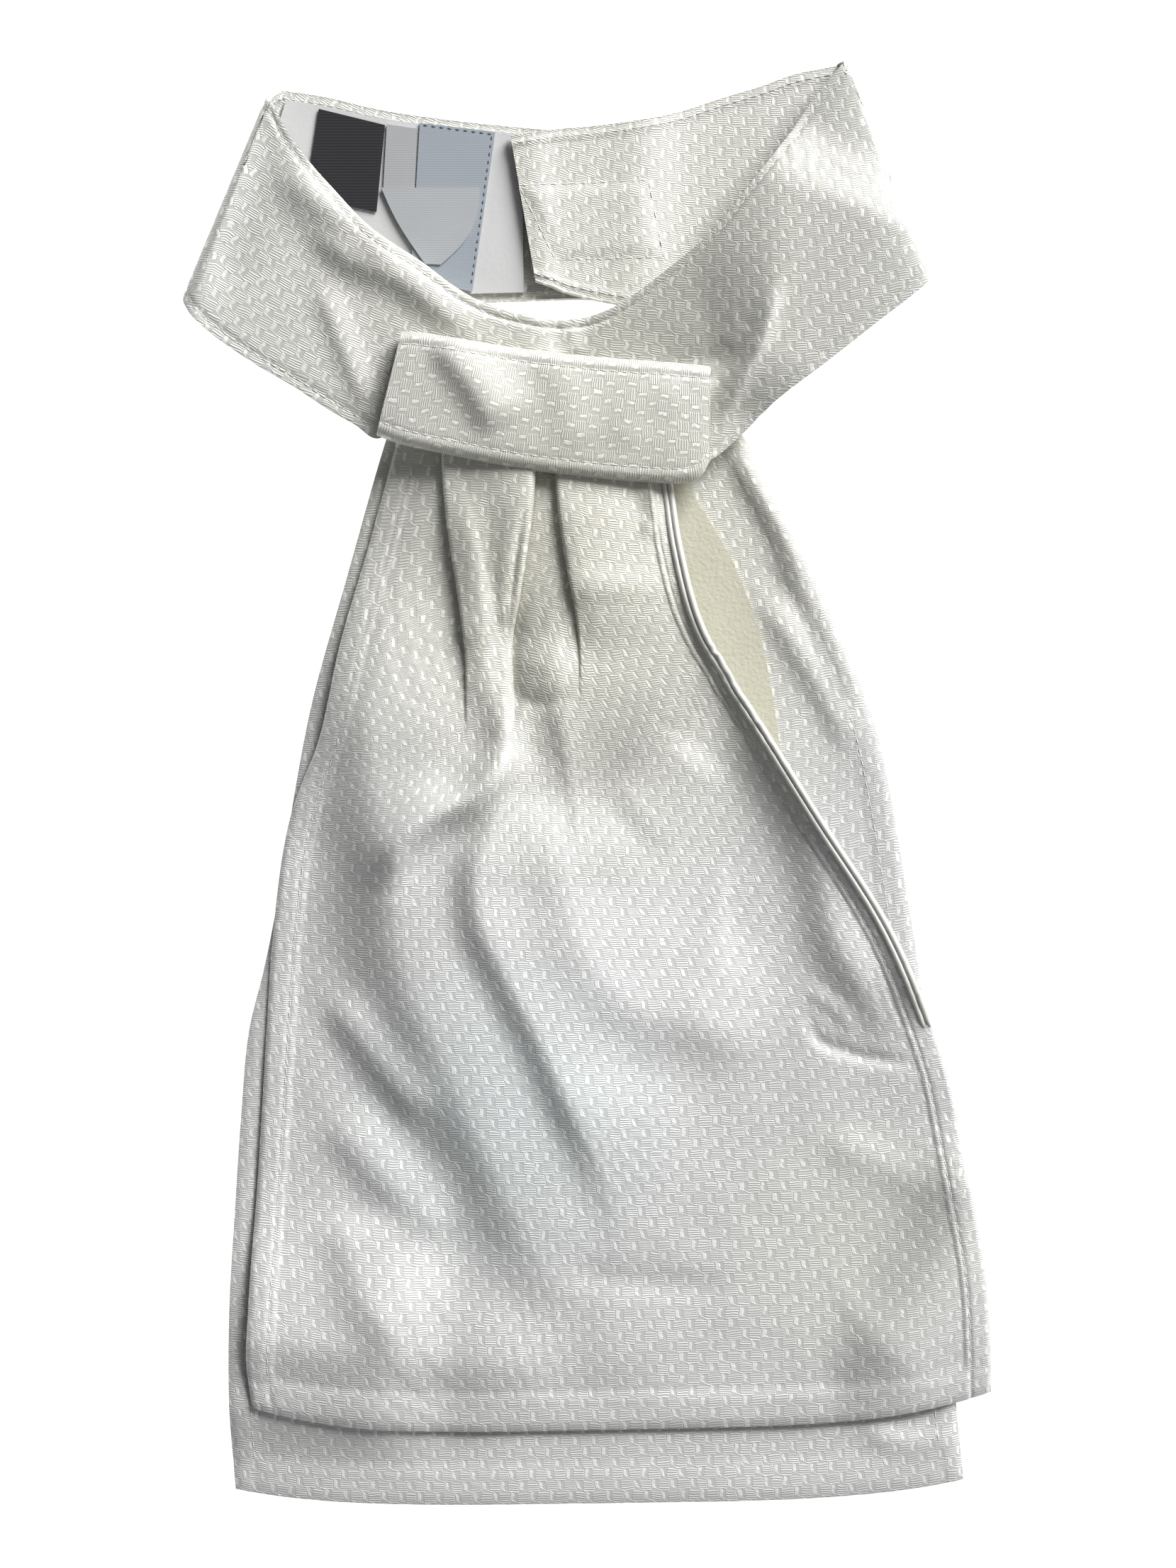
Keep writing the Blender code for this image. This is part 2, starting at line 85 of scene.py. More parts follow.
# Low swells that no cloth is without: their spacing, their height and the seed of their draw
BACK_TAIL_SWELLS = (15.0, 0.12, 3)
FRONT_TAIL_SWELLS = (11.0, 0.16, 7)
BAR_SWELLS = (9.0, 0.14, 5)
SWELL_CELLS = 64

# Soft folds, a row for each: the points x, y along its crest, its width on its left hand and on its right
# hand going along it, and its height, which is negative for a trough
BACK_TAIL_FOLDS = (
    (((37, 90), (43, 78), (50, 66), (58, 50)), 3.5, 3.5, 1.7),
    (((44, 50), (53, 37), (61, 24), (70, 6)), 5, 3.5, 1.3),
    (((46, 62), (56, 50), (66, 32), (72, 16)), 4, 3, 0.8),
    (((-126, -160), (-92, -160), (-62, -161), (-34, -163)), 40, 12, 3.8),
    (((70, -168), (84, -172), (96, -170)), 3, 4, 0.8),
)

# Every fold's crest is read at this many points; its ends keep a share of its height and taper over a
# share of its length
CREST_POINTS = 90
FOLD_END_SHARE = 0.15
FOLD_TAPER = 0.25

# Front tail, the same columns as the back tail
FRONT_TAIL_ROWS = (
    (-48.6, 92.2, 20.6, 82.5, 0),
    (-50.3, 85.7, 21.6, 76.2, 0),
    (-56.4, 63.1, 24.2, 60, 0),
    (-64, 36.8, 30.6, 38.6, 0.5),
    (-69.7, 11.3, 45.5, 14.2, 1),
    (-76.8, -7.2, 59.6, -8.5, 1.5),
    (-82, -41.3, 79.2, -39.8, 2.5),
    (-83.3, -61, 87.6, -59, 3),
    (-84.1, -75, 92.7, -73.3, 3.5),
    (-85.8, -104, 98.7, -103, 4.5),
    (-87.7, -134.7, 103.3, -131, 6),
    (-88.1, -153, 104.6, -150, 7),
    (-86.9, -162, 104.7, -158.4, 8),
)
FRONT_TAIL_SECTIONS = 205
FRONT_TAIL_LIFT = 0.5
FRONT_TAIL_REST = CAD_TAIL_WALL + GAP + FRONT_TAIL_LIFT

# Knife pleats of the front tail, a row for each from left to right: its edge's x at the bar and where it
# fades, the y where it starts to open and the y where it is flat, which side is on top (1 the right
# panel, -1 the left one), the depth tucked under, and the bend radius of its first and second turn
PLEATS = (
    (-37.6, -31.8, 46, 10, 1, 6, 0.65, 0.65),
    (-14, -19.6, 50, 16, -1, 5, 1.30, 0.65),
    (-8.2, -2.2, 57, 18, 1, 6, 0.65, 0.65),
)
PLEAT_TOP_Y = 82.0
PLEAT_LOW_Y = 30.0
PLEAT_LEAST_TUCK = 0.4

# As a pleat opens, its tuck and its bends shrink by these powers, and the bends keep a least share
TUCK_POWER = 12
BEND_POWER = 3
BEND_LEAST_SHARE = 0.15

# Grid of the front tail: steps in each bend and in each panel, their sizes at a panel's two ends, the y
# between which all steps become even, and the y between which the weave comes loose in the tucks
TURN_STEPS = 7
PANEL_STEPS = (34, 30, 18, 76)
EDGE_STEPS = ((0.35, 1.0), (1.0, 1.0), (1.0, 1.0), (1.0, 0.2))
EVEN_FROM_Y = 10.0
EVEN_BY_Y = -70.0
LOOSE_Y = (14.0, 32.0)

# Folds of the front tail, the same columns as the back tail's
FRONT_TAIL_FOLDS = (
    (((-46, 62), (-52, 40), (-55, 18), (-54, -2), (-51, -18), (-50, -32), (-45, -52), (-36, -72),
      (-27, -92), (-17, -112), (-8, -126), (0, -136), (6, -143)), 38, 12.5, 5.9),
    (((-18, 40), (-20, 24), (-22, 10), (-26, -2)), 16, 4, 1.6),
    (((-21, 12), (-24, 3), (-31, -4), (-42, -9), (-51, -18), (-52, -30)), 5.5, 6, 4.4),
    (((-20, 18), (-21, 6), (-29, -3), (-40, -8.5), (-49, -17), (-51, -26)), 2.6, 2.2, 0.9),
    (((-20, 8), (-24, -12), (-28, -23), (-27, -36), (-20, -51), (-12, -66), (-5, -81), (3, -98), (8, -112)),
     22, 5.5, 3.4),
    (((-10, 0), (-6, -20), (0, -42), (12, -56), (34, -62), (52, -60)), 30, 11, 3),
    (((-33, 80), (-30, 60), (-28, 42), (-26, 24), (-23, 8)), 4, 5, 1.7),
    (((-5, 78), (-2, 60), (2, 44), (5, 32)), 14, 4, 0.7),
    (((-14, 78), (-18.5, 58), (-19.8, 37), (-19.4, 20), (-20.5, 4)), 1.8, 1.6, -1.1),
    (((-19.5, 27), (-17, 21.5), (-10, 20.5), (-3, 24)), 2, 1.8, -0.5),
    (((-20, 25), (-9, 27.5), (2, 28), (15, 25), (31, 14)), 60, 24, 5),
    (((30, 10), (21, -1), (9, -12)), 9, 9, 1.1),
    (((12, 79), (15.5, 75), (16.5, 68), (14, 62)), 1.8, 2.2, 0.9),
    (((-68, -54), (-60, -65), (-49, -79), (-40, -90)), 6, 4.5, 2),
    (((-67, -84), (-58, -97), (-48, -107), (-34, -115)), 9, 6, 2),
    (((-63, -110), (-60, -124), (-55, -136), (-44, -147)), 24, 7, 2.1),
    (((-110, -141), (-84, -143), (-56, -146), (-26, -149), (0, -151)), 24, 11, 3),
    (((98, -86), (97, -112), (92, -128), (84, -140), (74, -149), (60, -154)), 14, 12, 4.8),
    (((36, 28), (44, 14), (52, 0), (58, -12), (62, -25), (65, -40), (72, -52), (78, -63), (80, -72)),
     15, 7, 3.3),
    (((56, -53), (62, -57), (67, -62), (67, -67)), 2.2, 2.2, 0.5),
    (((56.5, -60), (60, -67), (68, -70.5), (85.5, -73.5)), 1.8, 1.4, -0.7),
    (((-8, -126), (12, -130), (40, -131)), 4, 4, -0.5),
    (((60, -92), (74, -98), (88, -106)), 5, 5, 0.6),
)

# Where the weave turns with the pleats: centre x, y, reach and angle in degrees
FRONT_TAIL_TURNS = ((-44.0, 32.0, 30.0, 26.0), (10.0, 24.0, 22.0, 14.0))

# Lift of the pleats towards the bar, and the distances from the tail's edges over which it comes in
BUNDLE_HEIGHT = 2.4
BUNDLE_FROM_Y = 30.0
BUNDLE_FULL_Y = 84.0
BUNDLE_FROM_LEFT = 14.0
BUNDLE_FROM_RIGHT = 5.0

# Curl of the bound edge: its height, its reach at two heights y, and where it fades out
CURL_HEIGHT = 2.3
CURL_REACH = (4.5, 7.0)
CURL_REACH_Y = (44.0, -8.0)
CURL_FADE_Y = (-66.0, -52.0)

# The two cords of the bound edge: distance from the edge and radius, and the y between which they run
SEAM_CORDS = ((0.75, 0.85), (2.2, 0.72))
SEAM_CORD_Y = (82.0, -64.0)
CORD_SIDES = 10
CORD_END_SIZES = (0.3, 0.8)
CORD_FLATNESS = 0.8

# Hems: width turned up, height of the step where it ends, half that step's run, and how far the folded
# edge rounds over
HEM_WIDTH = 6.6
LOW_HEM_WIDTH = 8.6
HEM_STEP = 0.5
HEM_STEP_RUN = 0.5
EDGE_ROUND = 1.1

# Groove that stitches pull in: half width, depth, and distance from the hem's end
GROOVE_WIDTH = 0.6
HEM_GROOVE = 0.3
HEM_GROOVE_INSET = 1.2

# Thread stitches: length, pitch and width
HEM_THREAD = (2.0, 2.9, 0.26)
BAR_THREAD = (2.0, 2.6, 0.3)
BAND_THREAD = (1.9, 2.5, 0.28)
TAB_THREAD = (1.9, 2.6, 0.28)
OVERLOCK_THREAD = (1.1, 2.1, 0.42)
STITCH_SIDES = 6
STITCH_RINGS = 4
STITCH_FLATNESS = 0.8
STITCH_LIFT = 0.1
STITCH_LEAST_Z = 0.02

# Hem stitches: distance from the hem's end, the shares of a tail's rows between which the side seams
# run, and for the lower seam the columns left out at each end and the rows that it is looked for in
HEM_STITCH_INSET = 1.0
SIDE_HEM_ROWS = (0.30, 0.965)
LOW_HEM_MARGIN = 6
LOW_HEM_ROWS = 60

# Brushed lining beside the rolled edge, its dark cream partly painted shade, a row for each section: left
# x, right x, y
TAIL_LINING_ROWS = (
    (17.2, 26, 80),
    (18, 27.2, 75.4),
    (20, 32.9, 66),
    (22.2, 38.2, 56),
    (26, 43.6, 42),
    (33, 47, 28),
    (40.6, 49.2, 14),
    (44.6, 50.2, 7),
)
TAIL_LINING_GRID = (80, 22)

# Outer face of the neck band, a row for each section: neck edge x, y, z; lower edge x, y, z
BAND_BACK_LEFT = (
    (11, 169.2, 0, 11, 125.4, 0),
    (-2, 169.6, 0, -2, 126, 0),
    (-15.7, 170.6, 0, -15, 125.6, 0),
    (-35.1, 172.6, 0, -36, 124.8, 0),
    (-53.3, 175.2, 0, -58, 122.6, 0),
    (-68, 178.6, 0, -82, 120.8, 0),
)
BAND_LEFT_FOLD = (
    (-78.6, 180.2, 0, -97.5, 121.5, 0),
    (-83.4, 178.6, 4.5, -104.9, 126.6, 4.5),
    (-81.6, 175.4, 9, -101.6, 119.9, 8.6),
)
BAND_FRONT = (
    (-77.9, 168, 8.9, -95.1, 114.5, 7.8),
    (-71.8, 160, 8.7, -85.3, 107.9, 7.2),
    (-65.7, 153.2, 8.5, -76.6, 102.9, 6.8),
    (-58.3, 145.2, 8.3, -68.1, 97.3, 6.4),
    (-52.2, 140.4, 8.1, -60.5, 92.9, 6.1),
    (-43.5, 134.9, 7.9, -54.2, 89.4, 5.8),
    (-35.1, 128.6, 7.7, -46, 96.4, 5.8),
    (-27.8, 124.5, 7.5, -36, 98.5, 6),
    (-17.8, 121.3, 7.4, -22, 99, 6.2),
    (-5.7, 119.9, 7.3, -6, 98.5, 6.3),
    (4.4, 122.3, 7.4, 6, 97.5, 6.3),
    (12.4, 126.9, 7.6, 16, 96, 6.2),
    (19.2, 131.9, 7.8, 23, 93, 6),
    (25.7, 136.9, 8, 27.6, 88.2, 5.9),
    (33.5, 143.9, 8.3, 31, 83.6, 5.8),
    (40.4, 152.6, 8.6, 38.8, 89.4, 6.2),
    (47, 160.9, 8.8, 48.2, 98.6, 7),
    (53, 168.8, 9, 61.4, 108.6, 7.8),
    (57.6, 175.6, 9.4, 74, 118.4, 9.2),
)
BAND_RIGHT_FOLD = (
    (65.2, 184.9, 10.6, 85.5, 127.2, 10.6),
    (67.9, 188, 5.3, 92.3, 136.4, 5.3),
    (64.4, 186.8, 0, 84.6, 131.6, 0),
)
BAND_BACK_RIGHT = (
    (53.6, 184.6, 0, 70, 128.4, 0),
    (44.6, 181.4, 0, 54, 125, 0),
    (34, 178.2, 0, 38, 122.9, 0),
    (24.4, 175, 0.5, 25, 122.4, 0.5),
    (14.4, 172.6, 2.3, 14, 123.4, 2.3),
    (2.8, 170.9, 2.3, 3, 125.2, 2.3),
    (-8, 169.9, 2.7, -5.6, 127.2, 2.7),
    (-14.6, 168.8, 3.5, -10.4, 129, 3.5),
    (-20.2, 167.9, 3.5, -13.7, 130.1, 3.5),
)
FOLD_ANGLES = (-90.0, -60.0, -30.0, 0.0, 30.0, 60.0, 90.0)
BAND_GRID = (400, 56)
BAND_FOLDS = (
    (((-80, 160), (-68, 149), (-57, 142), (-46, 133)), 5, 5, 1.8),
    (((-74, 146), (-62, 136), (-48, 130), (-36, 121), (-26, 115)), 6, 4, 2),
    (((-70, 130), (-63, 112), (-56, 95)), 4, 3, 0.9),
    (((-83, 177), (-92, 154), (-102, 125)), 8, 8, -2.2),
    (((66, 186), (78, 160), (91, 134)), 7, 7, -0.5),
    (((62, 170), (54, 153), (49.5, 138), (47, 125), (42, 110), (35, 95)), 60, 20, 4.4),
    (((-16, 107), (6, 107), (24, 110), (38, 112), (46, 110)), 23, 6, -4.8),
    (((49, 131), (46, 117), (40, 104), (33, 91)), 1.6, 3.5, 1.2),
    (((-8, 120), (-8.6, 111)), 1.3, 1.3, -0.6),
    (((-4, 119), (-3, 111)), 2, 2, 0.6),
)

# Rows of the band between which its front folds come in at the left and go out at the right
BAND_FRONT_ROWS = (11.0, 13.5, 35.2, 32.2)

# The band's edges: distance of the stitches, depth of their groove, depth and reach of the rounding, and
# the share of both that the middle of the cloth follows
BAND_EDGE_STITCH = 2.2
BAND_GROOVE = 0.75
BAND_ROUNDING = 0.35
BAND_ROUND = 1.2
BAND_EDGE_SHARE = 0.5

# The band's weft runs on arcs about this point, seen from above before the band is folded back
GRAIN_CENTRE = (37.0, 344.0)
GRAIN_RADIUS = 205.0

# Weave of the tails: the front tail's column, counted from the right, that it starts from; how far the
# tucks give way; the least step, the stiffness of a column and the rounds of the solver
GRAIN_FROM_RIGHT = 40
GRAIN_GIVE = 0.97
GRAIN_LEAST_STEP = 0.15
GRAIN_STIFFNESS = 1.6
GRAIN_ROUNDS = 400

# Tab: the share of the band's rows where it starts and how softly, its puff inside the stitches and the
# distances over which that rises, and the corners x, y of the stitches from upper left round to lower left
TAB_FROM_ROW = 0.86
TAB_FADE = 0.01
TAB_PUFF = 0.4
TAB_PUFF_REACH = (-0.4, 3.4)
TAB_LINE_POINTS = 24
TAB_STITCH = ((-18.0, 155.0), (15.6, 156.6), (19.6, 136.6), (-8.6, 135.8))

# Band lining: the band's rows between which it shows, its margin as a share of the band's width, its grid
LINING_FIRST_ROW = 2.1
LINING_LAST_ROW = 5.9
LINING_MARGIN = 0.045
LINING_GRID = (90, 40)

# Knot bar, a row for each section along it: upper edge x, y; lower edge x, y; z of its outer face
BAR_ROWS = (
    (-48, 116.4, -54.6, 89.6, 12.2),
    (-43, 116.2, -48, 87.2, 12.6),
    (-29, 113.8, -36.8, 84.7, 12.9),
    (-13.9, 111.6, -19, 81.2, 12.9),
    (1.9, 109.9, -2.2, 79, 12.9),
    (17, 108.8, 13, 77.6, 12.8),
    (27, 108, 26.6, 77.6, 12.6),
    (31.4, 107.4, 31.2, 83, 12.3),
)
BAR_SECTIONS = 150
BAR_ROLL = 1.95
BAR_RETURN = 5.0
BAR_CROWN = 0.4
BAR_FOLDS = (
    (((-40, 115), (-33, 107), (-27, 98), (-23, 89)), 8, 4.2, 2.1),
    (((-12, 112), (-6, 98), (-4, 84)), 6, 5, 0.5),
    (((26, 104), (12, 96), (8, 84)), 6, 5, 0.4),
)

# The bar's stitches: distance from the ends of its face and depth of their groove; folds and groove are
# gone at a depth under its top
BAR_STITCH_INSET = 1.0
BAR_GROOVE = 0.15
BAR_TOP_DEPTH = 3.0
BAR_SEW_MARGIN = 2
BAR_FLAT_STEPS = 44
BAR_ROLL_STEPS = 10

# Overlock stitches on the satin label: points x, y along its upper and right edges
LABEL_OVERLOCK = ((-43.4, 171.0), (-25.0, 168.6), (-27.8, 148.0), (-30.6, 128.4))
OVERLOCK_LINE_POINTS = 16

# Labels on the lining: four corners x, y from upper left round to lower left, and layers under each
LABELS = {
    "black_label": ((-70.1, 175.2), (-52.9, 171), (-55.1, 148.4), (-73.6, 152.4), 0),
    "care_label": ((-52.4, 171.2), (-44.5, 170), (-45.2, 153.4), (-53.4, 153.4), 0),
    "satin_label": ((-43.8, 171.6), (-24.2, 169.2), (-30.2, 127.6), (-46.2, 131.4), 0),
    "care_leaf": ((-53.8, 154.6), (-28.4, 154.6), (-38.4, 134.6), (-42.4, 134.8), 1),
}
LABEL_STEPS = 24

# The care leaf bulges at its right by this, and at its left by a share of it
LEAF_BULGE = np.array([3.0, -1.0])
LEAF_LEFT_SHARE = 0.4

# Camera over the middle of the photograph: its view is 1659 by 2212 pixels of 0.185 mm
PIXEL_MM = 0.185
VIEW_PIXELS = (1659, 2212)
ORIGIN_PIXEL = (830.0, 1104.0)
CAMERA_LENS = 80.0
CAMERA_SENSOR = 36.0

# Jacquard figure: a cell's width and a row's height in metres, the threads across a row and the steps in
# which they vary, the share of a row over which the border slants, and the uneven run of all edges
FIGURE_CELL = 0.00468
FIGURE_ROW = 0.00290
FIGURE_THREADS = 5.0
FIGURE_PICKS = 7.0
FIGURE_SLANT = 0.34
FIGURE_WOBBLE = 0.44

# Yarns: dark and pale tone, fineness of the patches, roughness, metallic, and depth and strength of relief
YARNS = {
    "ivory thread": ((0.56, 0.56, 0.54), (0.74, 0.74, 0.71), 900.0, 0.45, 0.15, 0.00003, 0.4),
    "ivory piping satin": ((0.50, 0.50, 0.48), (0.64, 0.64, 0.61), 420.0, 0.5, 0.2, 0.00008, 0.5),
    "slate thread": ((0.050, 0.060, 0.080), (0.120, 0.135, 0.165), 900.0, 0.55, 0.0, 0.00003, 0.4),
}

# Lights: place and target in metres, width and height, power in watts, and colour
LIGHTS = {
    "fill": ((1.20, -0.90, 0.80), (0.0, -0.10, 0.0), (1.0, 1.0), 5.0, (1.0, 1.0, 1.0)),
    "key": ((3.30, 4.20, 2.84), (0.0, -0.05, 0.0), (3.4, 3.4), 865.0, (1.0, 0.99, 0.975)),
}
WORLD_STRENGTH = 0.15
FLOOR_SIZE = 4.0
FLOOR_Z = -0.0004
FLOOR_GLOW = 0.8


def smoothstep(low, high, value):
    """0 at low and 1 at high, with level ends; low may be the larger."""
    part = np.clip((np.asarray(value, float) - low) / (high - low), 0.0, 1.0)
    return part * part * (3.0 - 2.0 * part)


def smooth_rows(rows, keys, at):
    """Rows of a table read at the keys in `at`, along a smooth curve through every row."""
    rows = np.asarray(rows, float)
    keys = np.asarray(keys, float)
    at = np.clip(np.asarray(at, float), keys[0], keys[-1])
    steps = np.diff(keys)[:, None]
    slopes = np.diff(rows, axis=0) / steps
    inner = (slopes[:-1] * steps[1:] + slopes[1:] * steps[:-1]) / (steps[1:] + steps[:-1])
    tangents = np.vstack([slopes[:1], inner, slopes[-1:]])
    low = np.clip(np.searchsorted(keys, at, side="right") - 1, 0, len(keys) - 2)
    width = (keys[low + 1] - keys[low])[:, None]
    part = ((at - keys[low])[:, None]) / width
    start, end = rows[low], rows[low + 1]
    return (
        (2 * part**3 - 3 * part**2 + 1) * start
        + (part**3 - 2 * part**2 + part) * width * tangents[low]
        + (3 * part**2 - 2 * part**3) * end
        + (part**3 - part**2) * width * tangents[low + 1]
    )


def smooth_path(points, count):
    """Evenly spread points along a smooth curve through the points given."""
    points = np.asarray(points, float)
    keys = np.concatenate([[0.0], np.cumsum(np.linalg.norm(np.diff(points, axis=0), axis=1))])
    if len(points) == 2:
        return points[0] + (points[1] - points[0]) * np.linspace(0.0, 1.0, count)[:, None]
    return smooth_rows(points, keys, np.linspace(0.0, keys[-1], count))


def near_path(path, x, y):
    """Distance of each x, y from a path, how far along it that is, and its side: 1 left, -1 right."""
    dx = np.asarray(x, float)[..., None] - path[:, 0]
    dy = np.asarray(y, float)[..., None] - path[:, 1]
    distance = np.hypot(dx, dy)
    nearest = distance.argmin(axis=-1)
    pick = nearest[..., None]
    gap_x = np.take_along_axis(dx, pick, -1)[..., 0]
    gap_y = np.take_along_axis(dy, pick, -1)[..., 0]
    run_x = np.gradient(path[:, 0])[nearest]
    run_y = np.gradient(path[:, 1])[nearest]
    side = (run_x * gap_y - run_y * gap_x) / np.hypot(run_x, run_y)
    inside = (nearest > 0) & (nearest < len(path) - 1)
    straight = np.take_along_axis(distance, pick, -1)[..., 0]
    reach = np.where(inside, np.abs(side), straight)
    side = np.where(inside, np.sign(side), np.clip(side / np.maximum(straight, 1e-6), -1.0, 1.0))
    return reach, nearest / (len(path) - 1.0), side


def fold_height(folds, x, y):
    """Height that a table of soft folds adds at each x, y."""
    total = np.zeros(np.shape(x))
    for crest, left, right, height in folds:
        reach, part, side = near_path(smooth_path(crest, CREST_POINTS), x, y)
        width = (left + right) / 2 + (left - right) / 2 * side
        ends = smoothstep(0.0, FOLD_TAPER, part) * smoothstep(1.0, 1.0 - FOLD_TAPER, part)
        taper = FOLD_END_SHARE + (1.0 - FOLD_END_SHARE) * ends
        total += height * taper * np.exp(-((reach / width) ** 2))
    return total


def soft_waves(x, y, size, height, seed):
    """Small uneven swells, about `size` apart."""
    chance = np.random.RandomState(seed).uniform(-1.0, 1.0, (SWELL_CELLS, SWELL_CELLS))
    across_cells = x / size + (SWELL_CELLS - 1) / 2
    down_cells = y / size + (SWELL_CELLS - 1) / 2
    column = np.floor(across_cells).astype(int)
    row = np.floor(down_cells).astype(int)
    part_x = smoothstep(0, 1, across_cells - column)
    part_y = smoothstep(0, 1, down_cells - row)
    low, high = (
        chance[line % SWELL_CELLS, column % SWELL_CELLS] * (1 - part_x)
        + chance[line % SWELL_CELLS, (column + 1) % SWELL_CELLS] * part_x
        for line in (row, row + 1)
    )
    return height * (low * (1 - part_y) + high * part_y)


def tail_sections(rows, count):
    """Left ends, right ends and sags of evenly spaced sections down a tail."""
    table = np.asarray(rows, float)
    middle = (table[:, 1] + table[:, 3]) / 2
    read = smooth_rows(table, -middle, np.linspace(-middle[0], -middle[-1], count))
    return read[:, 0:2], read[:, 2:4], read[:, 4]


def across(left, right, sag, part):
    """Plan points of one section at the parts `part` of its width, with the section's sag."""
    plan = left + (right - left) * part[:, None]
    plan[:, 1] -= sag * (1.0 - (2.0 * part - 1.0) ** 4)
    return plan


def run_down(points):
    """Length down each column from the top, and the length still left to its end."""
    steps = np.linalg.norm(np.diff(points, axis=0), axis=-1)
    run = np.vstack([np.zeros((1, points.shape[1])), np.cumsum(steps, axis=0)])
    return run, run[-1:] - run


def run_across(points):
    """Length along each row from its first point, and the length still left to its end."""
    run, left = run_down(points.transpose(1, 0, 2))
    return run.T, left.T


def groove(to_line, depth):
    """Depth of the groove that a row of stitches pulls in, by the distance from it."""
    return depth * np.exp(-((to_line / GROOVE_WIDTH) ** 2))


def hems(from_side, from_low):
    """Height that the turned-up side hems and lower hem add, by the distances from their folded edges."""
    step, dip = 0.0, 0.0
    for to_edge, width in ((from_side, HEM_WIDTH), (from_low, LOW_HEM_WIDTH)):
        folded = 1.0 - smoothstep(width - HEM_STEP_RUN, width + HEM_STEP_RUN, to_edge)
        step = np.maximum(step, HEM_STEP * folded)
        rounding = (TAIL_WALL / 2) * (1.0 - np.clip(to_edge / EDGE_ROUND, 0.0, 1.0)) ** 2
        dip = np.maximum(dip, groove(to_edge - width + HEM_GROOVE_INSET, HEM_GROOVE) + rounding)
    return step - dip


def grain_down(points, middle_column, loose=None):
    """Weave coordinates of a tail: across it and down it, sheared as little as the pleats allow.

    The lengths between columns are kept and columns stay straight, as far as both can be, and the steps
    marked loose, which lie in the tucks, give way first.
    """
    row_count, column_count = points.shape[:2]
    run, _ = run_across(points)
    down, _ = run_down(points)
    length = np.diff(run, axis=1)
    keep = 1.0 / np.maximum(length, GRAIN_LEAST_STEP) ** 2
    if loose is not None:
        tucked = smoothstep(LOOSE_Y[0], LOOSE_Y[1], points[:, :1, 1]) * loose[None, :]
        keep = keep * (1.0 - GRAIN_GIVE * tucked)
    straight = 1.0 / GRAIN_STIFFNESS**2
    place = run - run[:, middle_column:middle_column + 1]

    def gradient(field, wanted):
        pull = keep * (np.diff(field, axis=1) - wanted)
        lean = straight * np.diff(field, axis=0)
        total = np.zeros_like(field)
        total[:, :-1] -= pull
        total[:, 1:] += pull
        total[:-1] -= lean
        total[1:] += lean
        return total

    residual = -gradient(place, length)
    scale = np.zeros((row_count, column_count))
    scale[:, :-1] += keep
    scale[:, 1:] += keep
    scale += 2 * straight
    search = residual / scale
    size = (residual * search).sum()
    for _ in range(GRAIN_ROUNDS):
        turned = gradient(search, 0.0)
        step = size / (search * turned).sum()
        place += step * search
        residual -= step * turned
        next_size = (residual * residual / scale).sum()
        search = residual / scale + next_size / size * search
        size = next_size
    place -= place[-1, middle_column]
    return np.dstack([place, np.repeat(-down[:, middle_column:middle_column + 1], column_count, 1)])


def turn_grain(grain, points, turns):
    """Weave turned about each centre x, y by an angle in degrees that fades over its reach."""
    for x, y, reach, angle in turns:
        away = np.hypot(points[..., 0] - x, points[..., 1] - y)
        nearest = np.unravel_index(away.argmin(), away.shape)
        centre = grain[nearest]
        turn = np.radians(angle) * np.exp(-((away / reach) ** 2))
        part = grain - centre
        cos, sin = np.cos(turn), np.sin(turn)
        grain = centre + np.dstack([
            part[..., 0] * cos + part[..., 1] * sin,
            part[..., 1] * cos - part[..., 0] * sin,
        ])
    return grain


def back_tail():
    rows, columns = BACK_TAIL_GRID
    part = np.linspace(0.0, 1.0, columns)
    plan = [across(*section, part) for section in zip(*tail_sections(BACK_TAIL_ROWS, rows))]
    points = np.dstack([np.array(plan), np.zeros((rows, columns))])
    points[..., 2] = TAIL_WALL / 2 + fold_height(BACK_TAIL_FOLDS, points[..., 0], points[..., 1])
    points[..., 2] += hems(*from_folded_edges(points)) * BACK_TAIL_HEM_SHARE
    points[..., 2] += BACK_TAIL_LIFT + soft_waves(points[..., 0], points[..., 1], *BACK_TAIL_SWELLS)
    points[..., 2] = np.maximum(points[..., 2], TAIL_WALL / 2)
    lay_cloth("back_tail", points, grain_down(points, columns // 2), TAIL_WALL, jacquard())
    sew_hem("back_tail", points, TAIL_WALL)


def from_folded_edges(points):
    """Distances of a tail's points from its nearer side edge and from its lower edge."""
    from_left, from_right = run_across(points)
    _, from_low = run_down(points)
    return np.minimum(from_left, from_right), from_low


def pleat_turn(pleat, y):
    """Heading steps and lengths of one pleat's sections at the height y, and its middle's x."""
    x_top, x_low, open_y, flat_y, side, depth, first, second = pleat
    turned = 1.0 - smoothstep(open_y, flat_y, y)
    tucked = depth * turned**TUCK_POWER
    bend = BEND_LEAST_SHARE + (1.0 - BEND_LEAST_SHARE) * turned**BEND_POWER
    rising = np.linspace(0.0, 1.0, TURN_STEPS * 2 + 1)[1::2]
    headings = np.concatenate([rising, [1.0], rising[::-1]]) * math.pi * turned * side
    lengths = np.concatenate([
        np.full(TURN_STEPS, math.pi * first / TURN_STEPS * bend),
        [max(tucked, PLEAT_LEAST_TUCK)],
        np.full(TURN_STEPS, math.pi * second / TURN_STEPS * bend),
    ])
    place = smoothstep(PLEAT_TOP_Y, PLEAT_LOW_Y, y)
    edge = x_top + (x_low - x_top) * place
    radius = second if side > 0 else first
    centre = edge + side * (tucked / 2 + radius) * float(turned)
    return headings, lengths, float(centre)


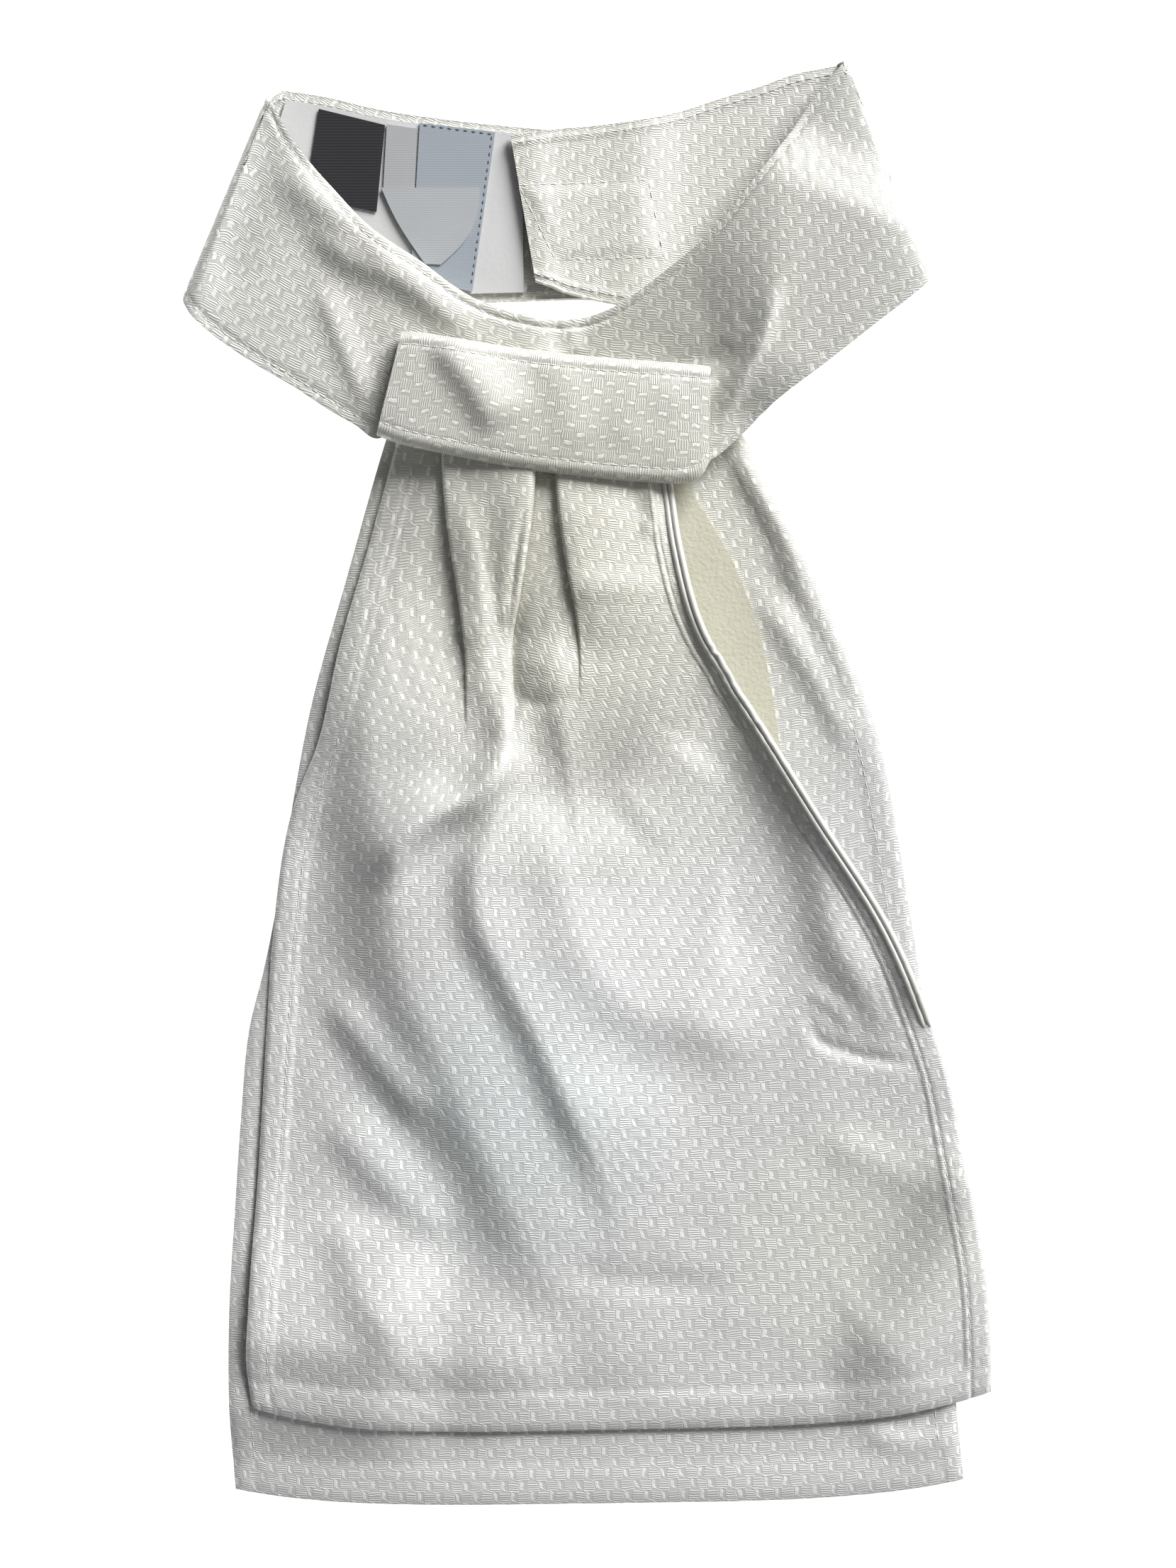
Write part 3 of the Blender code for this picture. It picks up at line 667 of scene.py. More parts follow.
def settling(rise):
    """Slope of the panels between pleats, so that each low panel and the last one end at rest."""
    change = np.zeros_like(rise)
    turn = 2 * TURN_STEPS + 1
    start = 0
    for number, panel in enumerate(PANEL_STEPS):
        end = start + panel
        level = rise[end] + change[start]
        drop = 0.0
        if number < len(PLEATS) and PLEATS[number][4] < 0:
            drop = rise[end + turn] - rise[end]
        part = np.linspace(0.0, 1.0, panel + 1)
        change[start:end + 1] = change[start] - (level + drop) * part * part * (3 - 2 * part)
        change[end + 1:] = change[end]
        start = end + turn
    return change


def panel_steps(count, sizes):
    """Shares of a panel's width, finer towards an edge of the tail."""
    share = sizes[0] + (sizes[1] - sizes[0]) * smoothstep(0.0, 1.0, np.linspace(0.0, 1.0, count))
    return share / share.sum()


def front_section(left, right, sag, y):
    """Plan points and heights of one section of the front tail, pleats folded over each other."""
    chord = float(np.hypot(*(right - left)))
    per_mm = chord / (right[0] - left[0])
    steps = sum(PANEL_STEPS) + len(PLEATS) * (2 * TURN_STEPS + 1)
    even = chord / steps
    evenness = float(smoothstep(EVEN_FROM_Y, EVEN_BY_Y, y))
    turns = []
    count = 0
    for panel, pleat in zip(PANEL_STEPS, PLEATS):
        headings, lengths, centre = pleat_turn(pleat, y)
        lengths = lengths + (even - lengths) * evenness
        count += panel + TURN_STEPS + 0.5
        middle = (centre - left[0]) * per_mm * (1 - evenness) + count * even * evenness
        count += TURN_STEPS + 0.5
        turns.append((headings, lengths, middle))
    headings, lengths = [], []
    reached = 0.0
    for panel, sizes, (turn, run, middle) in zip(PANEL_STEPS, EDGE_STEPS, turns):
        advance = run * np.cos(turn)
        flat = middle - advance[:TURN_STEPS].sum() - advance[TURN_STEPS] / 2 - reached
        headings += [0.0] * panel + list(turn)
        lengths += list(flat * panel_steps(panel, sizes)) + list(run)
        reached += flat + advance.sum()
    headings += [0.0] * PANEL_STEPS[-1]
    lengths += list((chord - reached) * panel_steps(PANEL_STEPS[-1], EDGE_STEPS[-1]))
    headings = np.array(headings)
    lengths = np.array(lengths)
    along = np.concatenate([[0.0], np.cumsum(lengths * np.cos(headings))])
    rise = np.concatenate([[0.0], np.cumsum(lengths * np.sin(headings))])
    return across(left, right, sag, along / chord), rise + settling(rise)


def front_tail():
    grid = []
    for left, right, sag in zip(*tail_sections(FRONT_TAIL_ROWS, FRONT_TAIL_SECTIONS)):
        y = (left[1] + right[1]) / 2
        plan, rise = front_section(left, right, sag, y)
        from_left = plan[:, 0] - left[0]
        from_right = right[0] - plan[:, 0]
        reach = CURL_REACH[0] + (CURL_REACH[1] - CURL_REACH[0]) * smoothstep(*CURL_REACH_Y, y)
        curl = CURL_HEIGHT * smoothstep(reach, 0.0, from_right) * smoothstep(*CURL_FADE_Y, y)
        bundle = BUNDLE_HEIGHT * smoothstep(BUNDLE_FROM_Y, BUNDLE_FULL_Y, y)
        bundle = bundle * smoothstep(0.0, BUNDLE_FROM_RIGHT, from_right)
        bundle = bundle * smoothstep(0.0, BUNDLE_FROM_LEFT, from_left)
        grid.append(np.column_stack([plan, FRONT_TAIL_REST + rise + curl + bundle]))
    points = np.array(grid)
    x, y = points[..., 0], points[..., 1]
    points[..., 2] += fold_height(BACK_TAIL_FOLDS, x, y) + fold_height(FRONT_TAIL_FOLDS, x, y)
    points[..., 2] += soft_waves(x, y, *FRONT_TAIL_SWELLS)
    loose = []
    for panel in PANEL_STEPS[:-1]:
        loose += [False] * panel + [True] * (2 * TURN_STEPS + 1)
    loose = np.array(loose + [False] * PANEL_STEPS[-1])
    grain = grain_down(points, points.shape[1] - GRAIN_FROM_RIGHT, loose)
    grain = turn_grain(grain, points, FRONT_TAIL_TURNS)
    points[..., 2] += hems(*from_folded_edges(points))
    seam_cords(points)
    lay_cloth("front_tail", points, grain, PLEATED_WALL, jacquard())
    sew_hem("front_tail", points, PLEATED_WALL)


def seam_cords(points):
    """The bound edge between bar and hem: two satin cords beside each other, the outer one thicker."""
    _, from_right = run_across(points)
    edge_y = points[:, -1, 1]
    rows = (edge_y < SEAM_CORD_Y[0]) & (edge_y > SEAM_CORD_Y[1])
    for number, (distance, radius) in enumerate(SEAM_CORDS):
        path, up = path_at(points[rows], PLEATED_WALL, from_right[rows], distance)
        cord("front_tail_seam_%d" % (number + 1), path, up, radius)


def cord(name, path, up, radius):
    """A satin cord half sunk in the cloth along a path, its ends closed."""
    along = np.gradient(path, axis=0)
    along /= np.linalg.norm(along, axis=1, keepdims=True)
    up = up - along * (up * along).sum(axis=1, keepdims=True)
    up /= np.linalg.norm(up, axis=1, keepdims=True)
    beside = np.cross(along, up)
    angle = np.linspace(0.0, 2.0 * math.pi, CORD_SIDES, endpoint=False)
    middle = np.ones(len(path) - 2 * len(CORD_END_SIZES))
    size = radius * np.concatenate([CORD_END_SIZES, middle, CORD_END_SIZES[::-1]])
    ring = (
        path[:, None]
        + beside[:, None] * (np.cos(angle)[None, :] * size[:, None])[..., None]
        + up[:, None] * (np.sin(angle)[None, :] * size[:, None] * CORD_FLATNESS)[..., None]
    )
    faces = []
    for row in range(len(path) - 1):
        for place in range(CORD_SIDES):
            start = row * CORD_SIDES + place
            after = row * CORD_SIDES + (place + 1) % CORD_SIDES
            faces.append((start, start + CORD_SIDES, after + CORD_SIDES, after))
    last = (len(path) - 1) * CORD_SIDES
    faces.append(tuple(range(CORD_SIDES)))
    faces.append(tuple(last + place for place in reversed(range(CORD_SIDES))))
    thread_piece(name, ring.reshape(-1, 3), faces, yarn("ivory piping satin"))


def thread_piece(name, points, faces, material):
    """A smooth piece of cord or thread, attached to the root body as the cloths are."""
    mesh = bpy.data.meshes.new(name)
    mesh.from_pydata((points * MM).tolist(), [], faces)
    mesh.materials.append(material)
    mesh.shade_smooth()
    piece = bpy.data.objects.new(name, mesh)
    bpy.context.scene.collection.objects.link(piece)
    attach(piece, "root")


def tail_lining():
    rows, columns = TAIL_LINING_GRID
    table = np.asarray(TAIL_LINING_ROWS, float)
    read = smooth_rows(table, -table[:, 2], np.linspace(-table[0, 2], -table[-1, 2], rows))
    part = np.linspace(0.0, 1.0, columns)
    x = read[:, 0:1] + (read[:, 1:2] - read[:, 0:1]) * part
    y = np.repeat(read[:, 2:3], columns, 1)
    z = CAD_TAIL_WALL + GAP + LINING_WALL / 2 + fold_height(BACK_TAIL_FOLDS, x, y)
    points = np.dstack([x, y, z])
    lay_cloth("tail_lining", points, points[..., :2], LINING_WALL, brushed_lining())


def fold_rows(back, outer, front):
    """Rows round a soft fold of the band, from its first row over its outermost one to its last."""
    back, outer, front = (np.asarray(row, float) for row in (back, outer, front))
    centre = (back + front) / 2
    rows = []
    for angle in FOLD_ANGLES:
        turn = math.radians(angle)
        rows.append(centre + (outer - centre) * math.cos(turn) + (front - back) / 2 * math.sin(turn))
    return rows


def band_table():
    """All rows of the band in order, from the end under the tab to the tab's own end."""
    rows = list(BAND_BACK_LEFT) + fold_rows(*BAND_LEFT_FOLD) + list(BAND_FRONT)
    return np.array(rows + fold_rows(*BAND_RIGHT_FOLD) + list(BAND_BACK_RIGHT), float)


def band_points(sections, parts):
    """Outer face of the band at the row numbers `sections`."""
    table = band_table()
    read = smooth_rows(table, np.arange(len(table)), sections)
    neck, lower = read[:, None, 0:3], read[:, None, 3:6]
    points = neck + (lower - neck) * parts[None, :, None]
    front = smoothstep(*BAND_FRONT_ROWS[:2], sections) * smoothstep(*BAND_FRONT_ROWS[2:], sections)
    points[..., 2] += front[:, None] * fold_height(BAND_FOLDS, points[..., 0], points[..., 1])
    on_tab = smoothstep(TAB_FROM_ROW - TAB_FADE, TAB_FROM_ROW + TAB_FADE, sections / (len(table) - 1.0))
    puff = smoothstep(*TAB_PUFF_REACH, inside_tab(points[..., 0], points[..., 1]))
    points[..., 2] += TAB_PUFF * on_tab[:, None] * puff
    return points


def inside_tab(x, y):
    """Distance of each x, y inside the tab's stitched rectangle, negative outside it."""
    inside = np.full(np.shape(x), np.inf)
    corners = np.array(TAB_STITCH + TAB_STITCH[:1])
    for first, second in zip(corners[:-1], corners[1:]):
        way = (second - first) / np.hypot(*(second - first))
        inside = np.minimum(inside, (x - first[0]) * way[1] - (y - first[1]) * way[0])
    return inside


def unfold(points, start, step, axis):
    """Plan points of the rows from `start` on, rolled out flat about a fold along `axis`."""
    flat = points[start, :, :2].copy()
    out = np.array([axis[1], -axis[0]]) * step
    unfolded = {start: flat}
    row = start
    while 0 <= row + step < len(points):
        move = points[row + step] - points[row]
        beside = move[:, :2] @ axis
        rest = move.copy()
        rest[:, :2] -= np.outer(beside, axis)
        flat = flat + np.outer(beside, axis) + np.outer(np.linalg.norm(rest, axis=1), out)
        row += step
        unfolded[row] = flat
    return unfolded


def band_grain(points, sections):
    """Weave coordinates of the band: arcs of weft on its front, carried round both folds."""
    flat = points[..., :2].copy()
    left_row = int(np.searchsorted(sections, len(BAND_BACK_LEFT) + len(FOLD_ANGLES) - 1))
    right_row = int(np.searchsorted(sections, len(band_table()) - len(BAND_BACK_RIGHT) - len(FOLD_ANGLES)))
    for start, step in ((left_row, -1), (right_row, 1)):
        axis = points[start, -1, :2] - points[start, 0, :2]
        axis = axis / np.linalg.norm(axis)
        for row, places in unfold(points, start, step, axis).items():
            flat[row] = places
    dx = flat[..., 0] - GRAIN_CENTRE[0]
    dy = GRAIN_CENTRE[1] - flat[..., 1]
    return np.dstack([np.arctan2(dx, dy) * GRAIN_RADIUS, GRAIN_RADIUS - np.hypot(dx, dy)])


def neck_band():
    rows, columns = BAND_GRID
    sections = np.linspace(0.0, len(band_table()) - 1, rows)
    outer = band_points(sections, np.linspace(0.0, 1.0, columns))
    grain = band_grain(outer, sections)
    inward = facing(outer)
    points = outer + inward * (BAND_WALL / 2)
    to_edge = np.minimum(*run_across(points))
    points[..., 2] = np.maximum(points[..., 2], BAND_WALL / 2)
    rounding = BAND_ROUNDING * (1.0 - np.clip(to_edge / BAND_ROUND, 0.0, 1.0)) ** 2
    dip = groove(to_edge - BAND_EDGE_STITCH, BAND_GROOVE) + rounding
    points += inward * dip[..., None] * BAND_EDGE_SHARE
    points[..., 2] = np.maximum(points[..., 2], BAND_CLOTH_WALL / 2)
    lay_cloth("neck_band", points, grain, BAND_CLOTH_WALL, jacquard())
    sew_band(points)
    sew_tab(points)


def band_lining():
    rows, columns = LINING_GRID
    sections = np.linspace(LINING_FIRST_ROW, LINING_LAST_ROW, rows)
    outer = band_points(sections, np.linspace(LINING_MARGIN, 1.0 - LINING_MARGIN, columns))
    points = outer + facing(outer) * (BAND_WALL + GAP + LINING_WALL / 2)
    lay_cloth("band_lining", points, points[..., :2], LINING_WALL, smooth_lining())


def knot_bar():
    table = np.asarray(BAR_ROWS, float)
    rows = smooth_rows(table, np.arange(len(table)), np.linspace(0, len(table) - 1, BAR_SECTIONS))
    turn = np.linspace(0.0, math.pi, BAR_ROLL_STEPS + 1)
    flat = np.linspace(0.0, 1.0, BAR_FLAT_STEPS + 1)[1:-1]
    inset = BAR_ROLL + BAR_WALL / 2
    grid = []
    for x_up, y_up, x_low, y_low, top in rows:
        upper = np.array([x_up, y_up])
        lower = np.array([x_low, y_low])
        width = float(np.hypot(*(lower - upper)))
        down = (lower - upper) / width
        run = np.concatenate([
            [inset + BAR_RETURN],
            inset - BAR_ROLL * np.sin(turn[::-1]),
            inset + (width - 2 * inset) * flat,
            width - inset + BAR_ROLL * np.sin(turn),
            [width - inset - BAR_RETURN],
        ])
        drop = np.concatenate([
            [2 * BAR_ROLL],
            BAR_ROLL - BAR_ROLL * np.cos(turn[::-1]),
            -BAR_CROWN * np.sin(math.pi * flat),
            BAR_ROLL - BAR_ROLL * np.cos(turn),
            [2 * BAR_ROLL],
        ])
        grid.append(np.column_stack([upper + np.outer(run, down), top - BAR_WALL / 2 - drop]))
    points = np.array(grid)
    under_top = points[..., 2].max(axis=1, keepdims=True) - points[..., 2]
    on_top = smoothstep(BAR_TOP_DEPTH, BAR_TOP_DEPTH - 1.0, under_top)
    points[..., 2] += on_top * fold_height(BAR_FOLDS, points[..., 0], points[..., 1])
    points[..., 2] += on_top * soft_waves(points[..., 0], points[..., 1], *BAR_SWELLS)
    along, _ = run_down(points)
    down_bar, _ = run_across(points)
    to_stitches = np.minimum(*(np.abs(away) for away in from_bar_stitches(points)))
    points[..., 2] -= on_top * groove(to_stitches, BAR_GROOVE)
    sew_bar(points)
    middle = points.shape[1] // 2
    grain = np.dstack([down_bar, np.repeat(along[:, middle:middle + 1], points.shape[1], 1)])
    lay_cloth("knot_bar", points, grain, BAR_WALL, jacquard())


def from_bar_stitches(points):
    """How far each point of the bar is past its upper row of stitches, and before its lower one."""
    down_bar, _ = run_across(points)
    start = BAR_ROLL_STEPS + 1
    on_face = down_bar - down_bar[:, start:start + 1]
    whole = on_face[:, -start - 1:-start]
    return on_face - BAR_STITCH_INSET, whole - BAR_STITCH_INSET - on_face


def label_points(corners, layers_under):
    """Middle of a label, flat on the lining or on the labels below it."""
    first, second, third, fourth = (np.array(corner) for corner in corners)
    lining_top = BAND_WALL + GAP + CAD_LINING_WALL
    rest = lining_top + LABEL_GAP + LABEL_WALL / 2 + layers_under * (LABEL_WALL + LEAF_GAP)
    part = np.linspace(0.0, 1.0, LABEL_STEPS + 1)
    grid = []
    for down in part:
        start = first + (fourth - first) * down
        end = second + (third - second) * down
        if layers_under:
            bulge = LEAF_BULGE * math.sin(math.pi * down)
            end = end + bulge
            start = start - bulge * LEAF_LEFT_SHARE
        plan = start + np.outer(part, end - start)
        grid.append(np.column_stack([plan, np.full(len(part), rest)]))
    return np.array(grid)


def labels():
    finishes = {
        "black_label": woven_black(),
        "care_label": satin_ribbon("care satin", (0.40, 0.41, 0.42)),
        "care_leaf": satin_ribbon("care leaf satin", (0.42, 0.44, 0.46)),
        "satin_label": satin_ribbon("blue satin", (0.34, 0.375, 0.42)),
    }
    for name, (*corners, layers_under) in LABELS.items():
        points = label_points(corners, layers_under)
        lay_cloth(name, points, points[..., :2], LABEL_WALL, finishes[name])
        if name == "satin_label":
            overlock(points)


def overlock(points):
    """Slate thread sewn over the satin label's upper and right edges."""
    look = facing(points)
    paths = lines_on(points + look * (LABEL_WALL / 2), look, LABEL_OVERLOCK, OVERLOCK_LINE_POINTS)
    stitches("satin_label_overlock", paths, OVERLOCK_THREAD, yarn("slate thread"))


def lines_on(face, look, corners, count):
    """Straight paths on a sheet's face from corner to corner, each with the ways that it faces."""
    spots, ways = face.reshape(-1, 3), look.reshape(-1, 3)
    corners = np.array(corners)
    paths = []
    for first, second in zip(corners[:-1], corners[1:]):
        plan = first + (second - first) * np.linspace(0.0, 1.0, count)[:, None]
        nearest = [np.hypot(*(spots[:, :2] - place).T).argmin() for place in plan]
        paths.append((np.column_stack([plan, spots[nearest, 2]]), ways[nearest]))
    return paths


def facing(points):
    """Unit directions that a sheet's outer face looks in."""
    along = np.gradient(points, axis=1)
    down = np.gradient(points, axis=0)
    look = np.cross(down, along)
    return look / np.maximum(np.linalg.norm(look, axis=-1, keepdims=True), 1e-9)


def lay_cloth(node, points, grain, wall, material):
    """A grid shaped to the middle of a cloth's wall and thickened, in place of the node's solid."""
    name = node + "_cloth"
    row_count, column_count = points.shape[:2]
    bpy.ops.object.select_all(action="DESELECT")
    bpy.ops.mesh.primitive_grid_add(x_subdivisions=column_count - 1, y_subdivisions=row_count - 1)
    cloth = bpy.context.object
    cloth.name = name
    mesh = cloth.data
    mesh.name = name
    mesh.vertices.foreach_set("co", (points.reshape(-1, 3) * MM).ravel())
    weave_map = mesh.uv_layers[0] if mesh.uv_layers else mesh.uv_layers.new()
    weave_map.name = "weave"
    corner = np.zeros(len(mesh.loops), int)
    mesh.loops.foreach_get("vertex_index", corner)
    weave_map.data.foreach_set("uv", (grain.reshape(-1, 2)[corner] * MM).ravel())
    mesh.materials.clear()
    mesh.materials.append(material)
    mesh.update()
    solid = cloth.modifiers.new("wall", "SOLIDIFY")
    solid.thickness = wall * MM
    solid.offset = 0.0
    bpy.ops.object.modifier_apply(modifier=solid.name)
    bpy.ops.object.shade_smooth_by_angle(angle=math.radians(SMOOTH_ANGLE))
    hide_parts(node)
    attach(cloth, "root")


def sew_tab(points):
    """The rectangle of stitches that holds the fastening on the tab's hidden face."""
    look = facing(points)
    face = points + look * (BAND_CLOTH_WALL / 2)
    start = int(len(points) * TAB_FROM_ROW)
    paths = lines_on(face[start:], look[start:], TAB_STITCH + TAB_STITCH[:1], TAB_LINE_POINTS)
    stitches("neck_band_tab_stitches", paths, TAB_THREAD, yarn("ivory thread"))


def stitches(name, paths, thread, material):
    """Rows of thread stitches, joined in one mesh; each path has its points and the ways they face."""
    length, pitch, width = thread
    bpy.ops.object.select_all(action="DESELECT")
    bpy.ops.mesh.primitive_uv_sphere_add(segments=STITCH_SIDES, ring_count=STITCH_RINGS, radius=0.5)
    stitch = bpy.context.object
    shape = np.array([vertex.co[:] for vertex in stitch.data.vertices])
    faces = [tuple(face.vertices) for face in stitch.data.polygons]
    bpy.data.objects.remove(stitch)
    all_points, all_faces = [], []
    for path, up in paths:
        steps = np.linalg.norm(np.diff(path, axis=0), axis=1)
        run = np.concatenate([[0.0], np.cumsum(steps)])
        for centre in np.arange(pitch / 2, run[-1], pitch):
            start, middle, end = (
                np.array([np.interp(spot, run, path[:, axis]) for axis in range(3)])
                for spot in (centre - length / 2, centre, centre + length / 2)
            )
            lift = np.array([np.interp(centre, run, up[:, axis]) for axis in range(3)])
            along = end - start
            along = along / max(float(np.linalg.norm(along)), 1e-6)
            beside = np.cross(lift, along)
            beside /= max(float(np.linalg.norm(beside)), 1e-6)
            lift = np.cross(along, beside)
            placed = (
                middle
                + shape[:, 2:3] * along * length
                + shape[:, 0:1] * beside * width
                + (shape[:, 1:2] * STITCH_FLATNESS + STITCH_LIFT) * lift * width
            )
            if placed[:, 2].min() < STITCH_LEAST_Z:
                continue
            offset = len(all_points) * len(shape)
            all_faces += [tuple(corner + offset for corner in face) for face in faces]
            all_points.append(placed)
    thread_piece(name, np.vstack(all_points), all_faces, material)


def path_at(points, wall, to_edge, distance):
    """Points on a sheet's face where `to_edge` is `distance`, one for each row, and the ways they face."""
    look = facing(points)
    face = points + look * (wall / 2)
    path, up = [], []
    for line, run, way in zip(face, to_edge, look):
        order = np.argsort(run)
        path.append([np.interp(distance, run[order], line[order, axis]) for axis in range(3)])
        up.append([np.interp(distance, run[order], way[order, axis]) for axis in range(3)])
    return np.array(path), np.array(up)


def sew_hem(node, points, wall):
    """Stitches along a tail's two side hems and its lower hem."""
    from_left, from_right = run_across(points)
    _, from_low = run_down(points)
    place = HEM_WIDTH - HEM_STITCH_INSET
    half = points.shape[1] // 2
    rows = slice(*(int(len(points) * share) for share in SIDE_HEM_ROWS))
    paths = []
    for side, part in ((from_left, slice(0, half)), (from_right, slice(half, None))):
        paths.append(path_at(points[rows, part], wall, side[rows, part], place))
    turned = points.transpose(1, 0, 2)[LOW_HEM_MARGIN:-LOW_HEM_MARGIN, -LOW_HEM_ROWS:]
    to_low = from_low.T[LOW_HEM_MARGIN:-LOW_HEM_MARGIN, -LOW_HEM_ROWS:]
    path, up = path_at(turned, wall, to_low, place)
    paths.append((path, -up))
    stitches(node + "_stitches", paths, HEM_THREAD, yarn("ivory thread"))


def sew_bar(points):
    """Rows of stitches along the bar's upper and lower edges."""
    look = -facing(points)
    face = points + look * (BAR_WALL / 2)
    row = np.arange(len(points))
    sewn = slice(BAR_SEW_MARGIN, -BAR_SEW_MARGIN)
    paths = []
    for away in from_bar_stitches(points):
        column = np.abs(away).argmin(axis=1)
        paths.append((face[row, column][sewn], look[row, column][sewn]))
    stitches("knot_bar_stitches", paths, BAR_THREAD, yarn("ivory thread"))


def sew_band(points):
    """Edge stitches all round the band, on its outer and inner faces."""
    run, left = run_across(points)
    half = points.shape[1] // 2
    paths = []
    for side, part in ((run, slice(0, half)), (left, slice(half, None))):
        for face in (1.0, -1.0):
            path, up = path_at(points[:, part], face * BAND_CLOTH_WALL, side[:, part], BAND_EDGE_STITCH)
            paths.append((path, up * face))
    stitches("neck_band_stitches", paths, BAND_THREAD, yarn("ivory thread"))


MATERIALS = {}


def material_named(name, build):
    """A material that is built once and used by every piece of that finish."""
    if name not in MATERIALS:
        material = bpy.data.materials.new(name)
        material.use_nodes = True
        build(Graph(material.node_tree))
        MATERIALS[name] = material
    return MATERIALS[name]


class Graph:
    """Short ways to place and join shader nodes."""

    def __init__(self, tree):
        self.tree = tree
        self.shader = tree.nodes.get("Principled BSDF")

    def node(self, kind, inputs=(), **settings):
        made = self.tree.nodes.new(kind)
        for setting, value in settings.items():
            setattr(made, setting, value)
        for socket, value in dict(inputs).items():
            self.put(made.inputs[socket], value)
        return made

    def put(self, socket, value):
        if isinstance(value, bpy.types.NodeSocket):
            self.tree.links.new(value, socket)
        else:
            socket.default_value = value

    def math(self, operation, *values):
        made = self.node("ShaderNodeMath", operation=operation)
        for socket, value in zip(made.inputs, values):
            self.put(socket, value)
        return made.outputs[0]

    def ramp(self, value, low, high, to_low=0.0, to_high=1.0):
        made = self.node("ShaderNodeMapRange", interpolation_type="SMOOTHSTEP", clamp=True)
        for socket, number in zip(made.inputs, (value, low, high, to_low, to_high)):
            self.put(socket, number)
        return made.outputs[0]

    def blend(self, factor, first, second):
        made = self.node("ShaderNodeMix", data_type="RGBA")
        self.put(made.inputs[0], factor)
        self.put(made.inputs[6], first if not isinstance(first, tuple) else (*first, 1.0))
        self.put(made.inputs[7], second if not isinstance(second, tuple) else (*second, 1.0))
        return made.outputs[2]

    def near(self, vector, centre, reach):
        """1 at a centre, falling softly to 0 at the reach."""
        away = self.node("ShaderNodeVectorMath", operation="DISTANCE")
        self.put(away.inputs[0], vector)
        self.put(away.inputs[1], centre)
        return self.ramp(away.outputs["Value"], 0.0, reach, 1.0, 0.0)

    def noise(self, vector, scale, detail=2.0):
        inputs = {"Vector": vector, "Scale": scale, "Detail": detail}
        return self.node("ShaderNodeTexNoise", inputs).outputs[0]

    def ribs(self, vector, scale):
        """Straight ribs across the map, as fine as the scale."""
        inputs = {"Vector": vector, "Scale": scale}
        return self.node("ShaderNodeTexWave", inputs, bands_direction="Y").outputs[1]

    def weave_map(self):
        return self.node("ShaderNodeUVMap", uv_map="weave").outputs[0]

    def place(self):
        return self.node("ShaderNodeTexCoord").outputs["Object"]

    def bump(self, height, distance, strength):
        made = self.node("ShaderNodeBump", {"Height": height, "Distance": distance, "Strength": strength})
        self.put(self.shader.inputs["Normal"], made.outputs[0])

    def set(self, **values):
        for name, value in values.items():
            self.put(self.shader.inputs[name.replace("_", " ")], value)


def new_group(name, inputs, outputs):
    """An empty node group with named sockets."""
    group = bpy.data.node_groups.new(name, "ShaderNodeTree")
    for label, kind in inputs:
        group.interface.new_socket(name=label, in_out="INPUT", socket_type=kind)
    for label, kind in outputs:
        group.interface.new_socket(name=label, in_out="OUTPUT", socket_type=kind)
    return group


